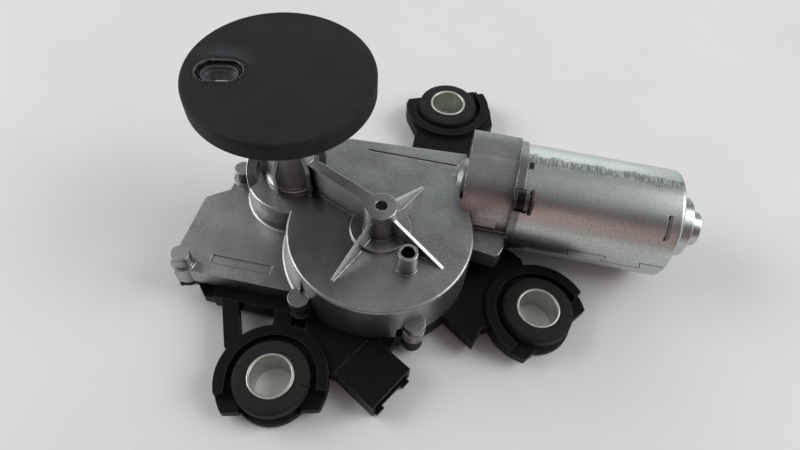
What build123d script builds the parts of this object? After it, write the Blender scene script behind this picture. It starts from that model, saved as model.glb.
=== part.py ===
from build123d import *
import math
import os

# Rear wiper motor with a worm gear, a crank-driven gear sector and an output shaft.
# Millimetres and degrees. The origin is the centre of the corner mounting sleeve at its lower
# face. +X runs along the motor shaft towards the closed end of the can, +Y to the rear and
# +Z up along the output shaft. The three sleeves stand on z = 0.

# Mounting bushes: a steel sleeve in a rubber grommet, in a horseshoe collar of the cover
bushes = {"corner": (0.0, 0.0), "front": (-86.9, -45.4), "rear": (-48.6, 97.5)}
bush_openings = {"corner": -40.0, "front": -76.0, "rear": 113.0}
sleeve_bore_radius = 7.0
sleeve_wall = 1.0
sleeve_length = 12.0
grommet_top_radius = 13.1
grommet_foot_radius = 13.9
grommet_groove_radius = 10.2
grommet_recess = 0.4
collar_radius = 19.2
collar_pocket_radius = 15.4
collar_low = 3.5
collar_plate_top = 7.0
collar_top = 10.5
collar_tip = 10.4
collar_leg_end = 5.0
rear_shoulder = [
    (-11.5, -50),
    (-11.5, -18),
    (-17.6, -8),
    (0, 6),
    (12, 13.9),
    (19.7, 3.5),
    (22.0, -6.5),
    (14.3, -22),
    (14.3, -50),
]
corner_shoulder = [
    (-38, -6),
    (-34.2, -9.2),
    (-21.5, -18),
    (-19.4, -11.6),
    (0, 0),
    (-7.4, 21.3),
    (-13.8, 25.5),
    (-27.1, 22.4),
    (-38, 22),
]

# Gear case: a round drum, a ledge round the output tower and a low wing
wheel_centre = (-61.6, 8.8)
drum_radius = 33.5
case_wall = 2.4
case_low = 11.0
case_top = 30.5
case_edge_round = 0.9
wing_top = 18.3
wing_edge_round = 0.8
output_centre = (-98.3, 25.7)
ledge_radius = 18.0
roof = 2.2
rear_wall_margin = 5.7
rear_wall_slant = 2.8
rear_wall_left = -82.0
case_right = -36.0
wing_front_y = -16.7
wing_left_x = -133.0
post_radius = 3.5
post_top = 24.3
left_posts = [(-129.1, -13.8), (-120.9, 28.3)]
half_boss_radius = 3.8
half_boss_top = 20.5
half_boss_margins = [(2.7, -128.9), (0.5, -57.2)]
rear_boss_top = 18.0
rear_boss_margin = 2.6
rear_boss_places = [-80.0, -44.0]

# Bosses and ribs on the case
hub_boss_radius = 5.7
hub_boss_top = 44.0
hub_foot_radius = 11.1
hub_foot_height = 1.2
hub_hole_radius = 2.1
peg_centre = (-49.5, -4.6)
peg_radius = 3.45
peg_hole_radius = 2.4
peg_top = 39.5
rib_thickness = 1.3
rib_tips = [(-50.0, 31.0), (-36.7, -2.8), (-73.0, -16.0)]
tower_wall_rib = 4.0
tower_radius = 8.6
tower_foot_radius = 10.6
tower_top = 67.5
tower_ribs = 6
ledge_groove_y = 44.0
ledge_groove_depth = 0.5
ledge_groove_width = 0.9
ledge_groove_start = -74.5
plate_frame = (-108.8, -10.0)
plate_frame_length = 23.0
plate_frame_width = 3.8
plate_frame_depth = 0.3

# Output shaft, drive disc and their bearings
shaft_radius = 5.0
shaft_foot_radius = 4.8
shaft_low = 4.8
disc_radius = 30.4
disc_thickness = 7.0
disc_lift = 12.0
disc_hub_radius = 9.0
disc_hub_drop = 2.6
disc_cap = 3.5
ring_lift = 1.2
ring_depth = 0.8
ring_slot = 1.0
slot_offset = 18.6
slot_angle = 192.0
slot_length = 9.2
slot_width = 5.2
slot_recess_length = 15.3
slot_recess_width = 10.5
slot_recess_depth = 1.6
bush_wall = 1.6
running_gap = 0.03
seat_gap = 0.02
loose_gap = 0.3

# Motor: can, magnets, armature, commutator and brushes, all on one axis along X
shaft_y = 41.1
shaft_z = 23.0
can_radius = 20.65
can_wall = 1.5
can_start = -14.0
can_end = 43.0
can_corner_round = 1.5
step_radius = 11.3
step_length = 7.0
nose_radius = 6.5
nose_length = 4.8
can_slot_from_end = 5.0
can_slot_width = 1.9
can_slot_length = 9.4
can_slot_depth = 0.8
can_slot_angle = 134.0
magnet_thickness = 4.0
magnet_arc = 130.0
magnet_start = -6.0
magnet_from_end = 11.0
clip_thickness = 0.8
air_gap = 0.73
core_start = -3.0
core_from_end = 14.0
core_slots = 10
core_slot_width = 1.6
winding_length = 6.0
armature_shaft_radius = 2.5
commutator_radius = 7.0
commutator_start = -27.0
commutator_end = -14.5
commutator_bars = 10
bar_gap = 0.6
bar_gap_depth = 0.8
card_start = -30.0
card_thickness = 2.0
card_clearance = 1.2
guide_size = (8.4, 8.0, 7.4)
brush_size = (6.0, 12.4, 5.0)
brush_play = 0.05
spring_place = 12.5
spring_size = (5.2, 0.5, 4.2)
spring_tab = (1.0, 1.8, 4.2)
choke_radius = 2.4
choke_length = 9.0
choke_place = 12.6
thrust_pad_radius = 4.0
thrust_pad_thickness = 1.45
bearing_wall = 2.8
chamber_inset = 3.65
chamber_wall = 2.5
chamber_start = -33.0
block_start = -35.0
flange_start = -17.0
flange_lip = 0.75
block_back_y = 55.0
motor_screw_angle = 132.9
motor_screw_radius = 2.0
motor_screw_head_radius = 4.6
motor_screw_head = 1.5
motor_screw_gap = 0.15
can_ear = 1.4
ear_radius = 4.2
screw_shoulder = 0.7
motor_screw_reach = 0.8

# Worm gear
wheel_teeth = 60
worm_module = 0.944
worm_pitch_radius = 3.98
wheel_mid_z = shaft_z
wheel_face = 5.0
wheel_rim_height = 7.0
worm_length = 15.0
wheel_hub_radius = 8.0
axle_radius = 3.0
contact_disc_inner = 16.0
contact_disc_outer = 26.0
contact_disc_thickness = 0.5
contact_plate_thickness = 1.1
contact_plate_bore = 11.0
finger_count = 3
finger_spacing = 3.0
finger_width = 2.0

# Crank drive: a gear sector on a rod turns the pinion, and a link holds their centres
pinion_teeth = 14
sector_full_teeth = 26
sector_teeth = 8
sector_module = 1.0
output_sweep = 110.0
rod_low = 9.0
rod_thickness = 4.5
link_low = 6.0
link_thickness = 2.2
pivot_radius = 2.5
crank_pin_radius = 2.8
eye_radius = 6.0

# Cover
cover_low = 2.5
cover_floor = 2.0
shallow_edge_x = -118.0
shallow_low = 8.2
shallow_floor = 1.2
gasket_thickness = 0.4
arm_top = 9.0
cover_screw_radius = 1.95
cover_screw_head_radius = 3.6
cover_screw_head = 2.2

# Connector
mouth_centre = (-46.5, -40.0)
mouth_angle = -31.0
plug_width = 18.9
plug_height = 8.2
plug_length = 18.0
plug_low = 0.8
plug_wall = 1.3
plug_depth = 11.0
blade_count = 4
blade_width = 1.6
blade_thickness = 0.8
blade_reach = 4.5

# Worked out from the sizes above
rear_wall_y = wheel_centre[1] + drum_radius + rear_wall_margin
step_end = can_end + step_length
nose_end = step_end + nose_length
magnet_end = can_end - magnet_from_end
core_end = can_end - core_from_end
core_radius = can_radius - can_wall - magnet_thickness - air_gap - seat_gap
chamber_radius = can_radius - chamber_inset
disc_top = tower_top + disc_lift
flange_radius = can_radius + flange_lip
shallow_inside = shallow_low + shallow_floor
bearing_outer = armature_shaft_radius + running_gap + bearing_wall
cover_top = case_low - gasket_thickness
cover_inside = cover_low + cover_floor
wing_roof = wing_top - roof
sleeve_radius = sleeve_bore_radius + sleeve_wall
wheel_pitch_radius = wheel_teeth * worm_module / 2
worm_pitch = math.pi * worm_module
pinion_pitch_radius = pinion_teeth * sector_module / 2
sector_pitch_radius = sector_full_teeth * sector_module / 2
link_length = pinion_pitch_radius + sector_pitch_radius
link_swing = output_sweep / (1 + sector_pitch_radius / pinion_pitch_radius)
link_angle = -90 - link_swing / 2
crank_radius = link_length * math.sin(math.radians(link_swing / 2))
sector_centre = (
    output_centre[0] + link_length * math.cos(math.radians(link_angle)),
    output_centre[1] + link_length * math.sin(math.radians(link_angle)),
)
rod_length = wheel_centre[0] - output_centre[0]
crank_pin = (sector_centre[0] + rod_length, sector_centre[1])
motor_screw_circle = can_radius + motor_screw_head_radius + motor_screw_gap
wheel_low = wheel_mid_z - wheel_rim_height / 2
wheel_high = wheel_mid_z + wheel_rim_height / 2
drum_roof = case_top - roof
disc_low = disc_top - disc_thickness

# Alignments
UP = (Align.CENTER, Align.CENTER, Align.MIN)
AHEAD = (Align.MIN, Align.CENTER)
ALONG = (Align.MIN, Align.CENTER, Align.CENTER)
ALONG_UP = (Align.MIN, Align.CENTER, Align.MIN)
CORNER = (Align.MIN, Align.MIN, Align.CENTER)
BEFORE_UP = (Align.CENTER, Align.MAX, Align.MIN)


def outline(points):
    """A closed face through corner points, where a third number rounds that corner."""
    corners = [point[:2] for point in points]
    rounds = [point[2] if len(point) > 2 else 0 for point in points]
    return make_face(FilletPolyline(*corners, radius=rounds, close=True))


def prism(sketch, low, high):
    """A flat sketch as a solid between two heights."""
    return extrude(Pos(0, 0, low) * sketch, high - low)


def post(centre, radius, low, high):
    """An upright cylinder."""
    return Pos(centre[0], centre[1], low) * Cylinder(radius, high - low, align=UP)


def tube(centre, inner, outer, low, high):
    """An upright ring."""
    return post(centre, outer, low, high) - post(centre, inner, low - 1, high + 1)


def turned(points, centre):
    """A solid turned about an upright axis from (radius, height) corners."""
    return Pos(centre[0], centre[1], 0) * revolve(Plane.XZ * outline(points), Axis.Z)


def turned_on_shaft(points):
    """A solid turned about the motor shaft from (x, radius) corners."""
    return Pos(0, shaft_y, shaft_z) * revolve(outline(points), Axis.X)


def barrel(radius, start, end):
    """A cylinder on the motor shaft between two x values."""
    rod = Cylinder(radius, end - start, align=UP)
    return Pos(start, shaft_y, shaft_z) * Rot(0, 90, 0) * rod


def hollow_barrel(inner, outer, start, end):
    """A ring on the motor shaft between two x values."""
    return barrel(outer, start, end) - barrel(inner, start - 1, end + 1)


def around_shaft(part, angle):
    """Turns a part about the motor shaft."""
    return Pos(0, shaft_y, shaft_z) * Rot(angle, 0, 0) * Pos(0, -shaft_y, -shaft_z) * part


def polar(centre, radius, angle):
    """A point at a distance and an angle from a centre."""
    turn = math.radians(angle)
    return (centre[0] + radius * math.cos(turn), centre[1] + radius * math.sin(turn))


def arm(start, end, start_width, end_width, low, high):
    """A flat arm between two points, with a width at each end."""
    along = (end[0] - start[0], end[1] - start[1])
    length = math.hypot(*along)
    side = (-along[1] / length, along[0] / length)
    corners = [
        (start[0] + side[0] * start_width / 2, start[1] + side[1] * start_width / 2),
        (start[0] - side[0] * start_width / 2, start[1] - side[1] * start_width / 2),
        (end[0] - side[0] * end_width / 2, end[1] - side[1] * end_width / 2),
        (end[0] + side[0] * end_width / 2, end[1] + side[1] * end_width / 2),
    ]
    return prism(outline(corners), low, high)


def rib(start, end, thickness, low, start_high, end_high):
    """An upright rib whose top edge slopes from one height to another."""
    length = math.hypot(end[0] - start[0], end[1] - start[1])
    angle = math.degrees(math.atan2(end[1] - start[1], end[0] - start[0]))
    face = outline([(0, low), (length, low), (length, end_high), (0, start_high)])
    plate = extrude(Plane.XZ * face, thickness / 2, both=True)
    return Pos(start[0], start[1], 0) * Rot(0, 0, angle) * plate


def gear_face(teeth, module, share, first, last, phase, root_radius):
    """A toothed face: each tooth has two root and two tip corners, share is its pitch-line part."""
    pitch_radius = teeth * module / 2
    step = 360 / teeth
    tip_radius = pitch_radius + 0.9 * module
    flank = math.degrees(0.45 * module / pitch_radius) * 0.8
    corners = []
    for index in range(first, last):
        middle = phase + index * step
        half = share * step / 2
        for offset, radius in (
            (-half - flank, root_radius),
            (-half + flank, tip_radius),
            (half - flank, tip_radius),
            (half + flank, root_radius),
        ):
            corners.append(polar((0, 0), radius, middle + offset))
    return corners


# ---------------------------------------------------------------- mounting bushes


def sleeve(centre):
    """The steel tube that a fixing bolt passes through."""
    return tube(centre, sleeve_bore_radius, sleeve_radius, 0, sleeve_length)


def grommet(centre):
    """A rubber spool with a groove that grips the collar plate."""
    bore = sleeve_radius + seat_gap
    top = sleeve_length - grommet_recess
    points = [
        (bore, grommet_recess),
        (grommet_foot_radius - 0.5, grommet_recess),
        (grommet_foot_radius, grommet_recess + 0.5),
        (grommet_foot_radius, collar_low - seat_gap - 0.5),
        (grommet_foot_radius - 0.5, collar_low - seat_gap),
        (grommet_groove_radius, collar_low - seat_gap),
        (grommet_groove_radius, collar_plate_top + seat_gap),
        (grommet_top_radius, collar_plate_top + seat_gap),
        (grommet_top_radius, top - 0.8),
        (grommet_top_radius - 0.8, top),
        (bore, top),
    ]
    return turned(points, centre)


def collar(name):
    """A horseshoe plate with a raised rim, open towards the free side."""
    wide = 3 * collar_radius
    slot = grommet_groove_radius + seat_gap
    plate = Circle(collar_radius) - Pos(collar_tip, 0) * Rectangle(wide, wide, align=AHEAD)
    plate -= Circle(slot) + Rectangle(wide, 2 * slot, align=AHEAD)
    rim = Circle(collar_radius) - Pos(collar_leg_end, 0) * Rectangle(wide, wide, align=AHEAD)
    rim -= Circle(collar_pocket_radius)
    rim -= Rectangle(wide, 2 * collar_pocket_radius, align=AHEAD)
    whole = prism(plate, collar_low, collar_plate_top) + prism(rim, collar_plate_top, collar_top)
    centre = bushes[name]
    return Pos(centre[0], centre[1], 0) * Rot(0, 0, bush_openings[name]) * whole


def collar_space(name):
    """What an arm must leave free inside a collar."""
    wide = 3 * collar_radius
    slot = grommet_groove_radius + seat_gap
    pocket = Circle(collar_pocket_radius)
    pocket += Rectangle(wide, 2 * collar_pocket_radius, align=AHEAD)
    through = Circle(slot) + Rectangle(wide, 2 * slot, align=AHEAD)
    tip = Pos(collar_tip, 0) * Rectangle(wide, wide, align=AHEAD)
    space = prism(through, 0, collar_top + 1)
    space += prism(pocket, collar_plate_top, collar_top + 1)
    space += prism(tip, 0, collar_top + 1)
    space += prism(Circle(grommet_foot_radius + loose_gap), 0, collar_low)
    centre = bushes[name]
    return Pos(centre[0], centre[1], 0) * Rot(0, 0, bush_openings[name]) * space


# ---------------------------------------------------------------- gear case


def rear_wall_at(x):
    """How far back the slanting rear wall stands at one x."""
    share = (x - rear_wall_left) / (case_right - rear_wall_left)
    return rear_wall_y + share * rear_wall_slant


def half_bosses():
    """The two bosses that stand half out of the drum on its front side."""
    return [polar(wheel_centre, drum_radius + margin, angle) for margin, angle in half_boss_margins]


def rear_bosses():
    """The two bosses outside the rear wall."""
    return [(x, rear_wall_at(x) + rear_boss_margin) for x in rear_boss_places]


def rear_plan():
    """The part of the case over the worm, from the ledge to the motor block."""
    ledge_back = output_centre[1] + ledge_radius - 0.4
    points = [
        (output_centre[0], ledge_back),
        (rear_wall_left, rear_wall_y),
        (case_right, rear_wall_at(case_right)),
        (case_right, shaft_y - chamber_radius),
        wheel_centre,
        output_centre,
    ]
    return outline(points)


def wing_plan():
    """The low flat wing on the side away from the motor."""
    front_post, back_post = left_posts
    points = [
        (half_bosses()[0][0], wing_front_y),
        (front_post[0] + 3, wing_front_y),
        (front_post[0] - 1.5, front_post[1] - 4.7),
        (front_post[0] - 4.5, front_post[1] - 1.1),
        (wing_left_x + 0.6, back_post[1] - 12.7),
        (back_post[0] - post_radius, back_post[1] - 6.8),
        (back_post[0] - post_radius, back_post[1]),
        (back_post[0], back_post[1] + post_radius),
        (output_centre[0], output_centre[1] + ledge_radius - 2),
        output_centre,
        wheel_centre,
    ]
    return outline(points)


def case_plan(inset):
    """The outline that the case, its gasket and the cover share, or one inside it."""
    drum = Pos(*wheel_centre) * Circle(drum_radius - inset)
    ledge = Pos(*output_centre) * Circle(ledge_radius - inset)
    if inset == 0:
        return drum + ledge + rear_plan() + wing_plan()
    return drum + ledge + offset(rear_plan(), -inset) + offset(wing_plan(), -inset)


def deep_side(inset):
    """The side of the outline where the cover is deep, up to an upright wall."""
    reach = 300
    return Pos(shallow_edge_x + inset, 0) * Rectangle(reach, reach, align=AHEAD)


def boss_plan(extra):
    """The screw bosses round the outline, with a margin."""
    plan = None
    for places, radius in (
        (left_posts, post_radius),
        (half_bosses(), half_boss_radius),
        (rear_bosses(), half_boss_radius),
    ):
        for place in places:
            ring = Pos(*place) * Circle(radius + extra)
            plan = ring if plan is None else plan + ring
    return plan


def inside_plan():
    """The hollow inside the outline, clear of the screw bosses."""
    return case_plan(case_wall) - boss_plan(0.3)


def screw_places():
    """Each cover screw's place, the height under its head and the height of its tip."""
    deep_seat = cover_low + cover_screw_head
    tips = [(place, shallow_low, post_top - 2.5) for place in left_posts]
    tips += [(place, deep_seat, half_boss_top - 2.2) for place in half_bosses()]
    tips += [(place, deep_seat, rear_boss_top - 1.5) for place in rear_bosses()]
    return tips


def motor_block():
    """The block that joins the gear case to the motor, with its curved top."""
    back = block_back_y
    edge = Polyline(
        (32.0, 37.2),
        (22.6, 29.4),
        (21.0, 26.5),
        (22.5, 18.0),
        (30.0, case_low),
        (back, case_low),
        (back, 40.0),
        (back - 3, 43.6),
    )
    top = ThreePointArc((back - 3, 43.6), (43.0, 42.9), (32.0, 37.2))
    face = make_face(Curve() + [edge, top])
    block = Pos(block_start, 0, 0) * extrude(Plane.YZ * face, flange_start - block_start)
    pocket = Box(4.2, 9.6, 14, align=(Align.MAX, Align.MIN, Align.MIN))
    block -= Pos(flange_start, 19.6, 23.5) * pocket
    block += barrel(chamber_radius + chamber_wall, block_start, flange_start)
    block += barrel(flange_radius, flange_start, can_start)
    for turn in (0, 180):
        ear = arm((0, 0), (motor_screw_circle, 0), 12, 8, 0, can_start - flange_start)
        ear += Pos(motor_screw_circle, 0, 0) * Cylinder(4.0, can_start - flange_start, align=UP)
        upright = Rot(0, 90, 0) * Rot(0, 0, motor_screw_angle + 90 + turn) * ear
        block += Pos(flange_start, shaft_y, shaft_z) * upright
    lobe = outline([(-30, 24), (-15.7, 24), (-15.7, 21), (-16.3, 16.2), (-18.6, 10.4, 2), (-27.6, 11.8)])
    block += prism(lobe, 16, 24)
    bulge = [
        (block_start - 6, 0),
        (block_start - 6, 6.5),
        (block_start - 5, 8.0),
        (block_start - 3, 8.6),
        (block_start - 3, 9.6),
        (block_start - 1.2, 11.0, 1.0),
        (block_start + 1, 11.5),
        (block_start + 1, 0),
    ]
    return block + turned_on_shaft(bulge)


def output_tower():
    """The tower that carries the output shaft, with its upright ribs."""
    points = [
        (0, wing_roof),
        (tower_foot_radius, wing_roof),
        (tower_foot_radius, case_top + 2, 0.8),
        (tower_radius + 0.9, case_top + 2.4),
        (tower_radius, tower_top, 0.8),
        (0, tower_top),
    ]
    tower = turned(points, output_centre)
    for index in range(tower_ribs):
        angle = 15 + index * 360 / tower_ribs
        foot = polar(output_centre, tower_foot_radius + 1.6, angle)
        tower += rib(output_centre, foot, rib_thickness, case_top, tower_top - 4, case_top + 12)
    return tower


def crescent():
    """The raised rim on the ledge, which slopes down into it."""
    ring = Circle(ledge_radius - 0.2) - Circle(ledge_radius - 3.6)
    piece = prism(ring, case_top - 1, case_top + 7)
    slope = Rot(0, 0, 240) * Pos(0, 0, case_top - 3.2) * Rot(-25, 0, 0)
    piece -= slope * Box(80, 80, 30, align=UP)
    keep = Rot(0, 0, 150) * Box(60, 60, 120, align=ALONG)
    return Pos(output_centre[0], output_centre[1], 0) * (piece & keep)


def case_ribs():
    """The hub boss over the wheel, its ribs, the wall to the tower and the small peg boss."""
    hub_points = [
        (0, drum_roof),
        (hub_foot_radius, drum_roof),
        (hub_foot_radius, case_top + hub_foot_height, 0.6),
        (hub_boss_radius + 0.6, case_top + hub_foot_height),
        (hub_boss_radius, hub_boss_top, 0.6),
        (0, hub_boss_top),
    ]
    ribs = turned(hub_points, wheel_centre)
    for tip in rib_tips:
        ribs += rib(wheel_centre, tip, rib_thickness, case_top - 1, hub_boss_top - 1, case_top - 0.2)
    ribs += rib(wheel_centre, output_centre, tower_wall_rib, case_top - 1, hub_boss_top, hub_boss_top)
    peg = [
        (0, case_top - 1),
        (peg_radius + 0.3, case_top - 1),
        (peg_radius, peg_top, 0.4),
        (0, peg_top),
    ]
    ribs += turned(peg, peg_centre)
    web = (peg_centre[0] + 2, peg_centre[1] + 6)
    ribs += rib(peg_centre, web, 1.6, case_top - 1, case_top + 5, case_top + 4)
    return ribs


def gear_housing():
    """The die-cast case, open below, where the cover closes it."""
    rounded = [(0, case_low), (drum_radius, case_low), (drum_radius, case_top, case_edge_round)]
    case = turned(rounded + [(0, case_top)], wheel_centre)
    rounded = [(0, case_low), (ledge_radius, case_low), (ledge_radius, case_top, case_edge_round)]
    case += turned(rounded + [(0, case_top)], output_centre)
    case += prism(rear_plan(), case_low, case_top)
    case += prism(wing_plan(), case_low, wing_top)
    case += motor_block()
    case += output_tower() + case_ribs() + crescent()
    for place in left_posts:
        rounded = [(0, case_low), (post_radius, case_low), (post_radius, post_top, 0.5)]
        case += turned(rounded + [(0, post_top)], place)
        case += post(place, post_radius + 0.9, case_low, wing_top + 0.5)
    for place in half_bosses():
        case += post(place, half_boss_radius, case_low, half_boss_top)
    web = Box(2 * half_boss_radius, rear_boss_margin + 1, rear_boss_top - case_low, align=BEFORE_UP)
    for place in rear_bosses():
        case += post(place, half_boss_radius, case_low, rear_boss_top)
        case += Pos(place[0], place[1], case_low) * web
    for hollow in case_hollows():
        case -= hollow
    return case - case_marks()


def case_marks():
    """The groove along the rear edge and the sunken plate frame on the wing."""
    length = case_right - 3 - ledge_groove_start
    groove = Box(length, ledge_groove_width, 2, align=ALONG_UP)
    marks = Pos(ledge_groove_start, ledge_groove_y, case_top - ledge_groove_depth) * groove
    frame = Box(plate_frame_length, plate_frame_width, 2, align=UP)
    return marks + Pos(*plate_frame, wing_top - plate_frame_depth) * frame


def case_hollows():
    """The gear chamber, the worm bore, the brush chamber and every hole in the case."""
    tower_bore = shaft_radius + running_gap + bush_wall + seat_gap
    hub_bore = axle_radius + running_gap + bush_wall + seat_gap
    hollows = [
        prism(inside_plan(), case_low - 1, wing_roof),
        post(wheel_centre, drum_radius - case_wall, wing_roof - 1, drum_roof),
        barrel(bearing_outer + seat_gap, rear_wall_left - 1, chamber_start + 1),
        barrel(chamber_radius, chamber_start, can_start + 1),
        post(output_centre, tower_bore, wing_roof - 1, tower_top + 1),
        post(wheel_centre, hub_bore, drum_roof - 1, hub_boss_top - 3),
        post(wheel_centre, hub_hole_radius, hub_boss_top - 4, hub_boss_top + 1),
        post(peg_centre, peg_hole_radius, case_top + 1.5, peg_top + 1),
    ]
    for place, _, tip in screw_places():
        hollows.append(post(place, cover_screw_radius + seat_gap, case_low - 1, tip + 0.5))
    front = Box(3 * half_boss_radius, half_boss_radius, 6, align=BEFORE_UP)
    for place in half_bosses():
        hollows.append(Pos(place[0], place[1], case_low - 0.01) * front)
    for turn in (0, 180):
        screw = barrel(motor_screw_radius + seat_gap, flange_start - 1, can_start + 1)
        screw = Pos(0, motor_screw_circle, 0) * screw
        hollows.append(around_shaft(screw, motor_screw_angle + turn))
    return hollows


def cover_gasket():
    """The flat seal between the case and the cover."""
    plan = case_plan(0) + boss_plan(0)
    seal = prism(plan, cover_top, case_low) - prism(inside_plan(), cover_top - 1, case_low + 1)
    for place, _, _ in screw_places():
        seal -= post(place, cover_screw_radius + seat_gap, cover_top - 1, case_low + 1)
    return seal - motor_clearance()


def motor_clearance():
    """The room round the brush chamber and its flange, where they reach below the case."""
    room = barrel(chamber_radius + chamber_wall + loose_gap, block_start - loose_gap, can_end)
    return room + barrel(flange_radius + loose_gap, flange_start - loose_gap, can_end)


# ---------------------------------------------------------------- cover and bracket


def connector_place(part):
    """Puts a connector part, made with its mouth at the origin facing +X, in its place."""
    return Pos(mouth_centre[0], mouth_centre[1], 0) * Rot(0, 0, mouth_angle) * part


def cover_arms():
    """The flat arms from the tray to the three collars, and the frame beside the front one."""
    front, corner, rear = bushes["front"], bushes["corner"], bushes["rear"]
    frame_y = wing_front_y - 1.5
    arms = prism(Pos(*rear) * outline(rear_shoulder), collar_low, arm_top)
    arms += prism(Pos(*corner) * outline(corner_shoulder), collar_low, arm_top)
    arms += arm((-113.0, frame_y + 3), (front[0] - 16.6, front[1] + 8), 5.6, 5.4, collar_low, collar_top)
    arms += arm((-91.3, frame_y + 3), (front[0] - 2, front[1] + 17), 6.4, 6.4, collar_low, collar_top)
    arms += arm((-117.0, frame_y), (-80.0, frame_y), 5.8, 5.8, collar_low, cover_top)
    tab = [
        (-124.4, frame_y + 2),
        (-124.0, frame_y + 1),
        (-120.8, frame_y - 2.5),
        (-113, frame_y - 2.5),
        (-113, frame_y + 2),
    ]
    arms += prism(outline(tab), cover_low + 2, cover_top - 2)
    arms += arm((wheel_centre[0] - 9, -14), (front[0] + 15, front[1] + 6), 26, 12, collar_low, arm_top)
    socket_foot = (mouth_centre[0] - 12, mouth_centre[1] + 9)
    arms += arm((wheel_centre[0] + 2, -14), socket_foot, 24, 16, cover_low, arm_top)
    for name in bushes:
        arms += collar(name)
    return arms


def bracket_cover():
    """The moulded tray that closes the case and carries the three collars."""
    plan = case_plan(0) + boss_plan(0)
    cover = prism(plan, shallow_low, cover_top)
    cover += prism(plan & deep_side(0), cover_low, cover_top)
    cover += cover_arms()
    for name in bushes:
        cover -= collar_space(name)
    inside = inside_plan()
    cover -= prism(inside & deep_side(case_wall), cover_inside, cover_top + 1)
    cover -= prism(inside, shallow_inside, cover_top + 1)
    journal = shaft_foot_radius + running_gap
    cover += post(output_centre, journal + 3.5, cover_inside - 0.5, link_low - loose_gap)
    cover -= post(output_centre, journal, shaft_low - 0.1, link_low)
    for place, seat, _ in screw_places():
        cover -= post(place, cover_screw_radius + 0.2, 0, cover_top + 1)
        cover -= post(place, cover_screw_head_radius + 0.2, 0, seat)
    cover -= connector_place(plug_block(seat_gap))
    return cover - motor_clearance()


def cover_screws():
    """The six screws that hold the cover, driven from below."""
    screws = []
    for place, seat, tip in screw_places():
        head_low = seat - cover_screw_head
        screw = post(place, cover_screw_radius, seat - 0.5, tip)
        screw += post(place, cover_screw_head_radius, head_low, seat)
        screw -= Pos(place[0], place[1], head_low) * Box(4.4, 1.0, 2.4)
        screw -= Pos(place[0], place[1], head_low) * Box(1.0, 4.4, 2.4)
        screws.append(screw)
    return screws


def plug_block(extra):
    """The outside of the connector, with its mouth at the origin facing +X."""
    size = (plug_length + extra, plug_width + 2 * extra, plug_height + 2 * extra)
    return Pos(0, 0, plug_low - extra) * Box(*size, align=(Align.MAX, Align.CENTER, Align.MIN))


def connector_shell():
    """The socket that the vehicle harness plugs into."""
    shell = plug_block(0)
    inner = (plug_width - 2 * plug_wall, plug_height - 2 * plug_wall)
    cavity = Box(plug_depth, *inner, align=(Align.MAX, Align.CENTER, Align.MIN))
    shell -= Pos(0.01, 0, plug_low + plug_wall) * cavity
    for side in (-1, 1):
        catch = Box(3.0, 3.4, plug_wall, align=(Align.MAX, Align.CENTER, Align.MIN))
        shell += Pos(1.2, side * 6.4, plug_low) * catch
    for place in blade_places():
        blade = Box(plug_length, blade_width + 0.04, blade_thickness + 0.04)
        shell -= Pos(-plug_depth - plug_length / 2 + 0.1, place, plug_middle()) * blade
    return connector_place(shell)


def plug_middle():
    """Half the height of the socket."""
    return plug_low + plug_height / 2


def blade_places():
    """How far each blade stands from the middle of the socket."""
    spacing = (plug_width - 2 * plug_wall) / blade_count
    return [(index - (blade_count - 1) / 2) * spacing for index in range(blade_count)]


def connector_terminals():
    """The blades of the socket, which run back into the cover."""
    blades = []
    for place in blade_places():
        length = plug_length - plug_depth + blade_reach
        blade = Box(length, blade_width, blade_thickness, align=ALONG)
        blades.append(connector_place(Pos(-plug_length, place, plug_middle()) * blade))
    return blades


def contact_plate():
    """The carrier of the park contacts, on the floor of the cover below the wheel."""
    reach = drum_radius - case_wall - 1.0
    plate = Circle(reach) - Circle(contact_plate_bore)
    below = Rectangle(2 * reach, reach, align=(Align.CENTER, Align.MAX))
    plate = plate & (Pos(0, -7) * below)
    top = cover_inside + contact_plate_thickness
    solid = Pos(wheel_centre[0], wheel_centre[1], 0) * prism(plate, cover_inside, top)
    for place in half_bosses():
        solid -= post(place, half_boss_radius + 0.6, cover_inside - 1, cover_top)
    return solid - connector_place(plug_block(seat_gap))


def park_contacts():
    """Three spring fingers that rub on the contact disc under the wheel."""
    fingers = []
    foot = cover_inside + contact_plate_thickness
    tip = wheel_low - contact_disc_thickness - loose_gap
    for index in range(finger_count):
        radius = contact_disc_inner + 2 + finger_spacing * index
        corners = [
            (-7, foot),
            (5, foot),
            (5, foot + 0.5),
            (-5.5, foot + 0.5),
            (6, tip),
            (5.2, tip),
            (-7, foot + 0.9),
        ]
        strip = extrude(Plane.XZ * outline(corners), finger_width / 2, both=True)
        fingers.append(Pos(wheel_centre[0], wheel_centre[1] - radius, 0) * strip)
    return fingers


# ---------------------------------------------------------------- motor


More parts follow.
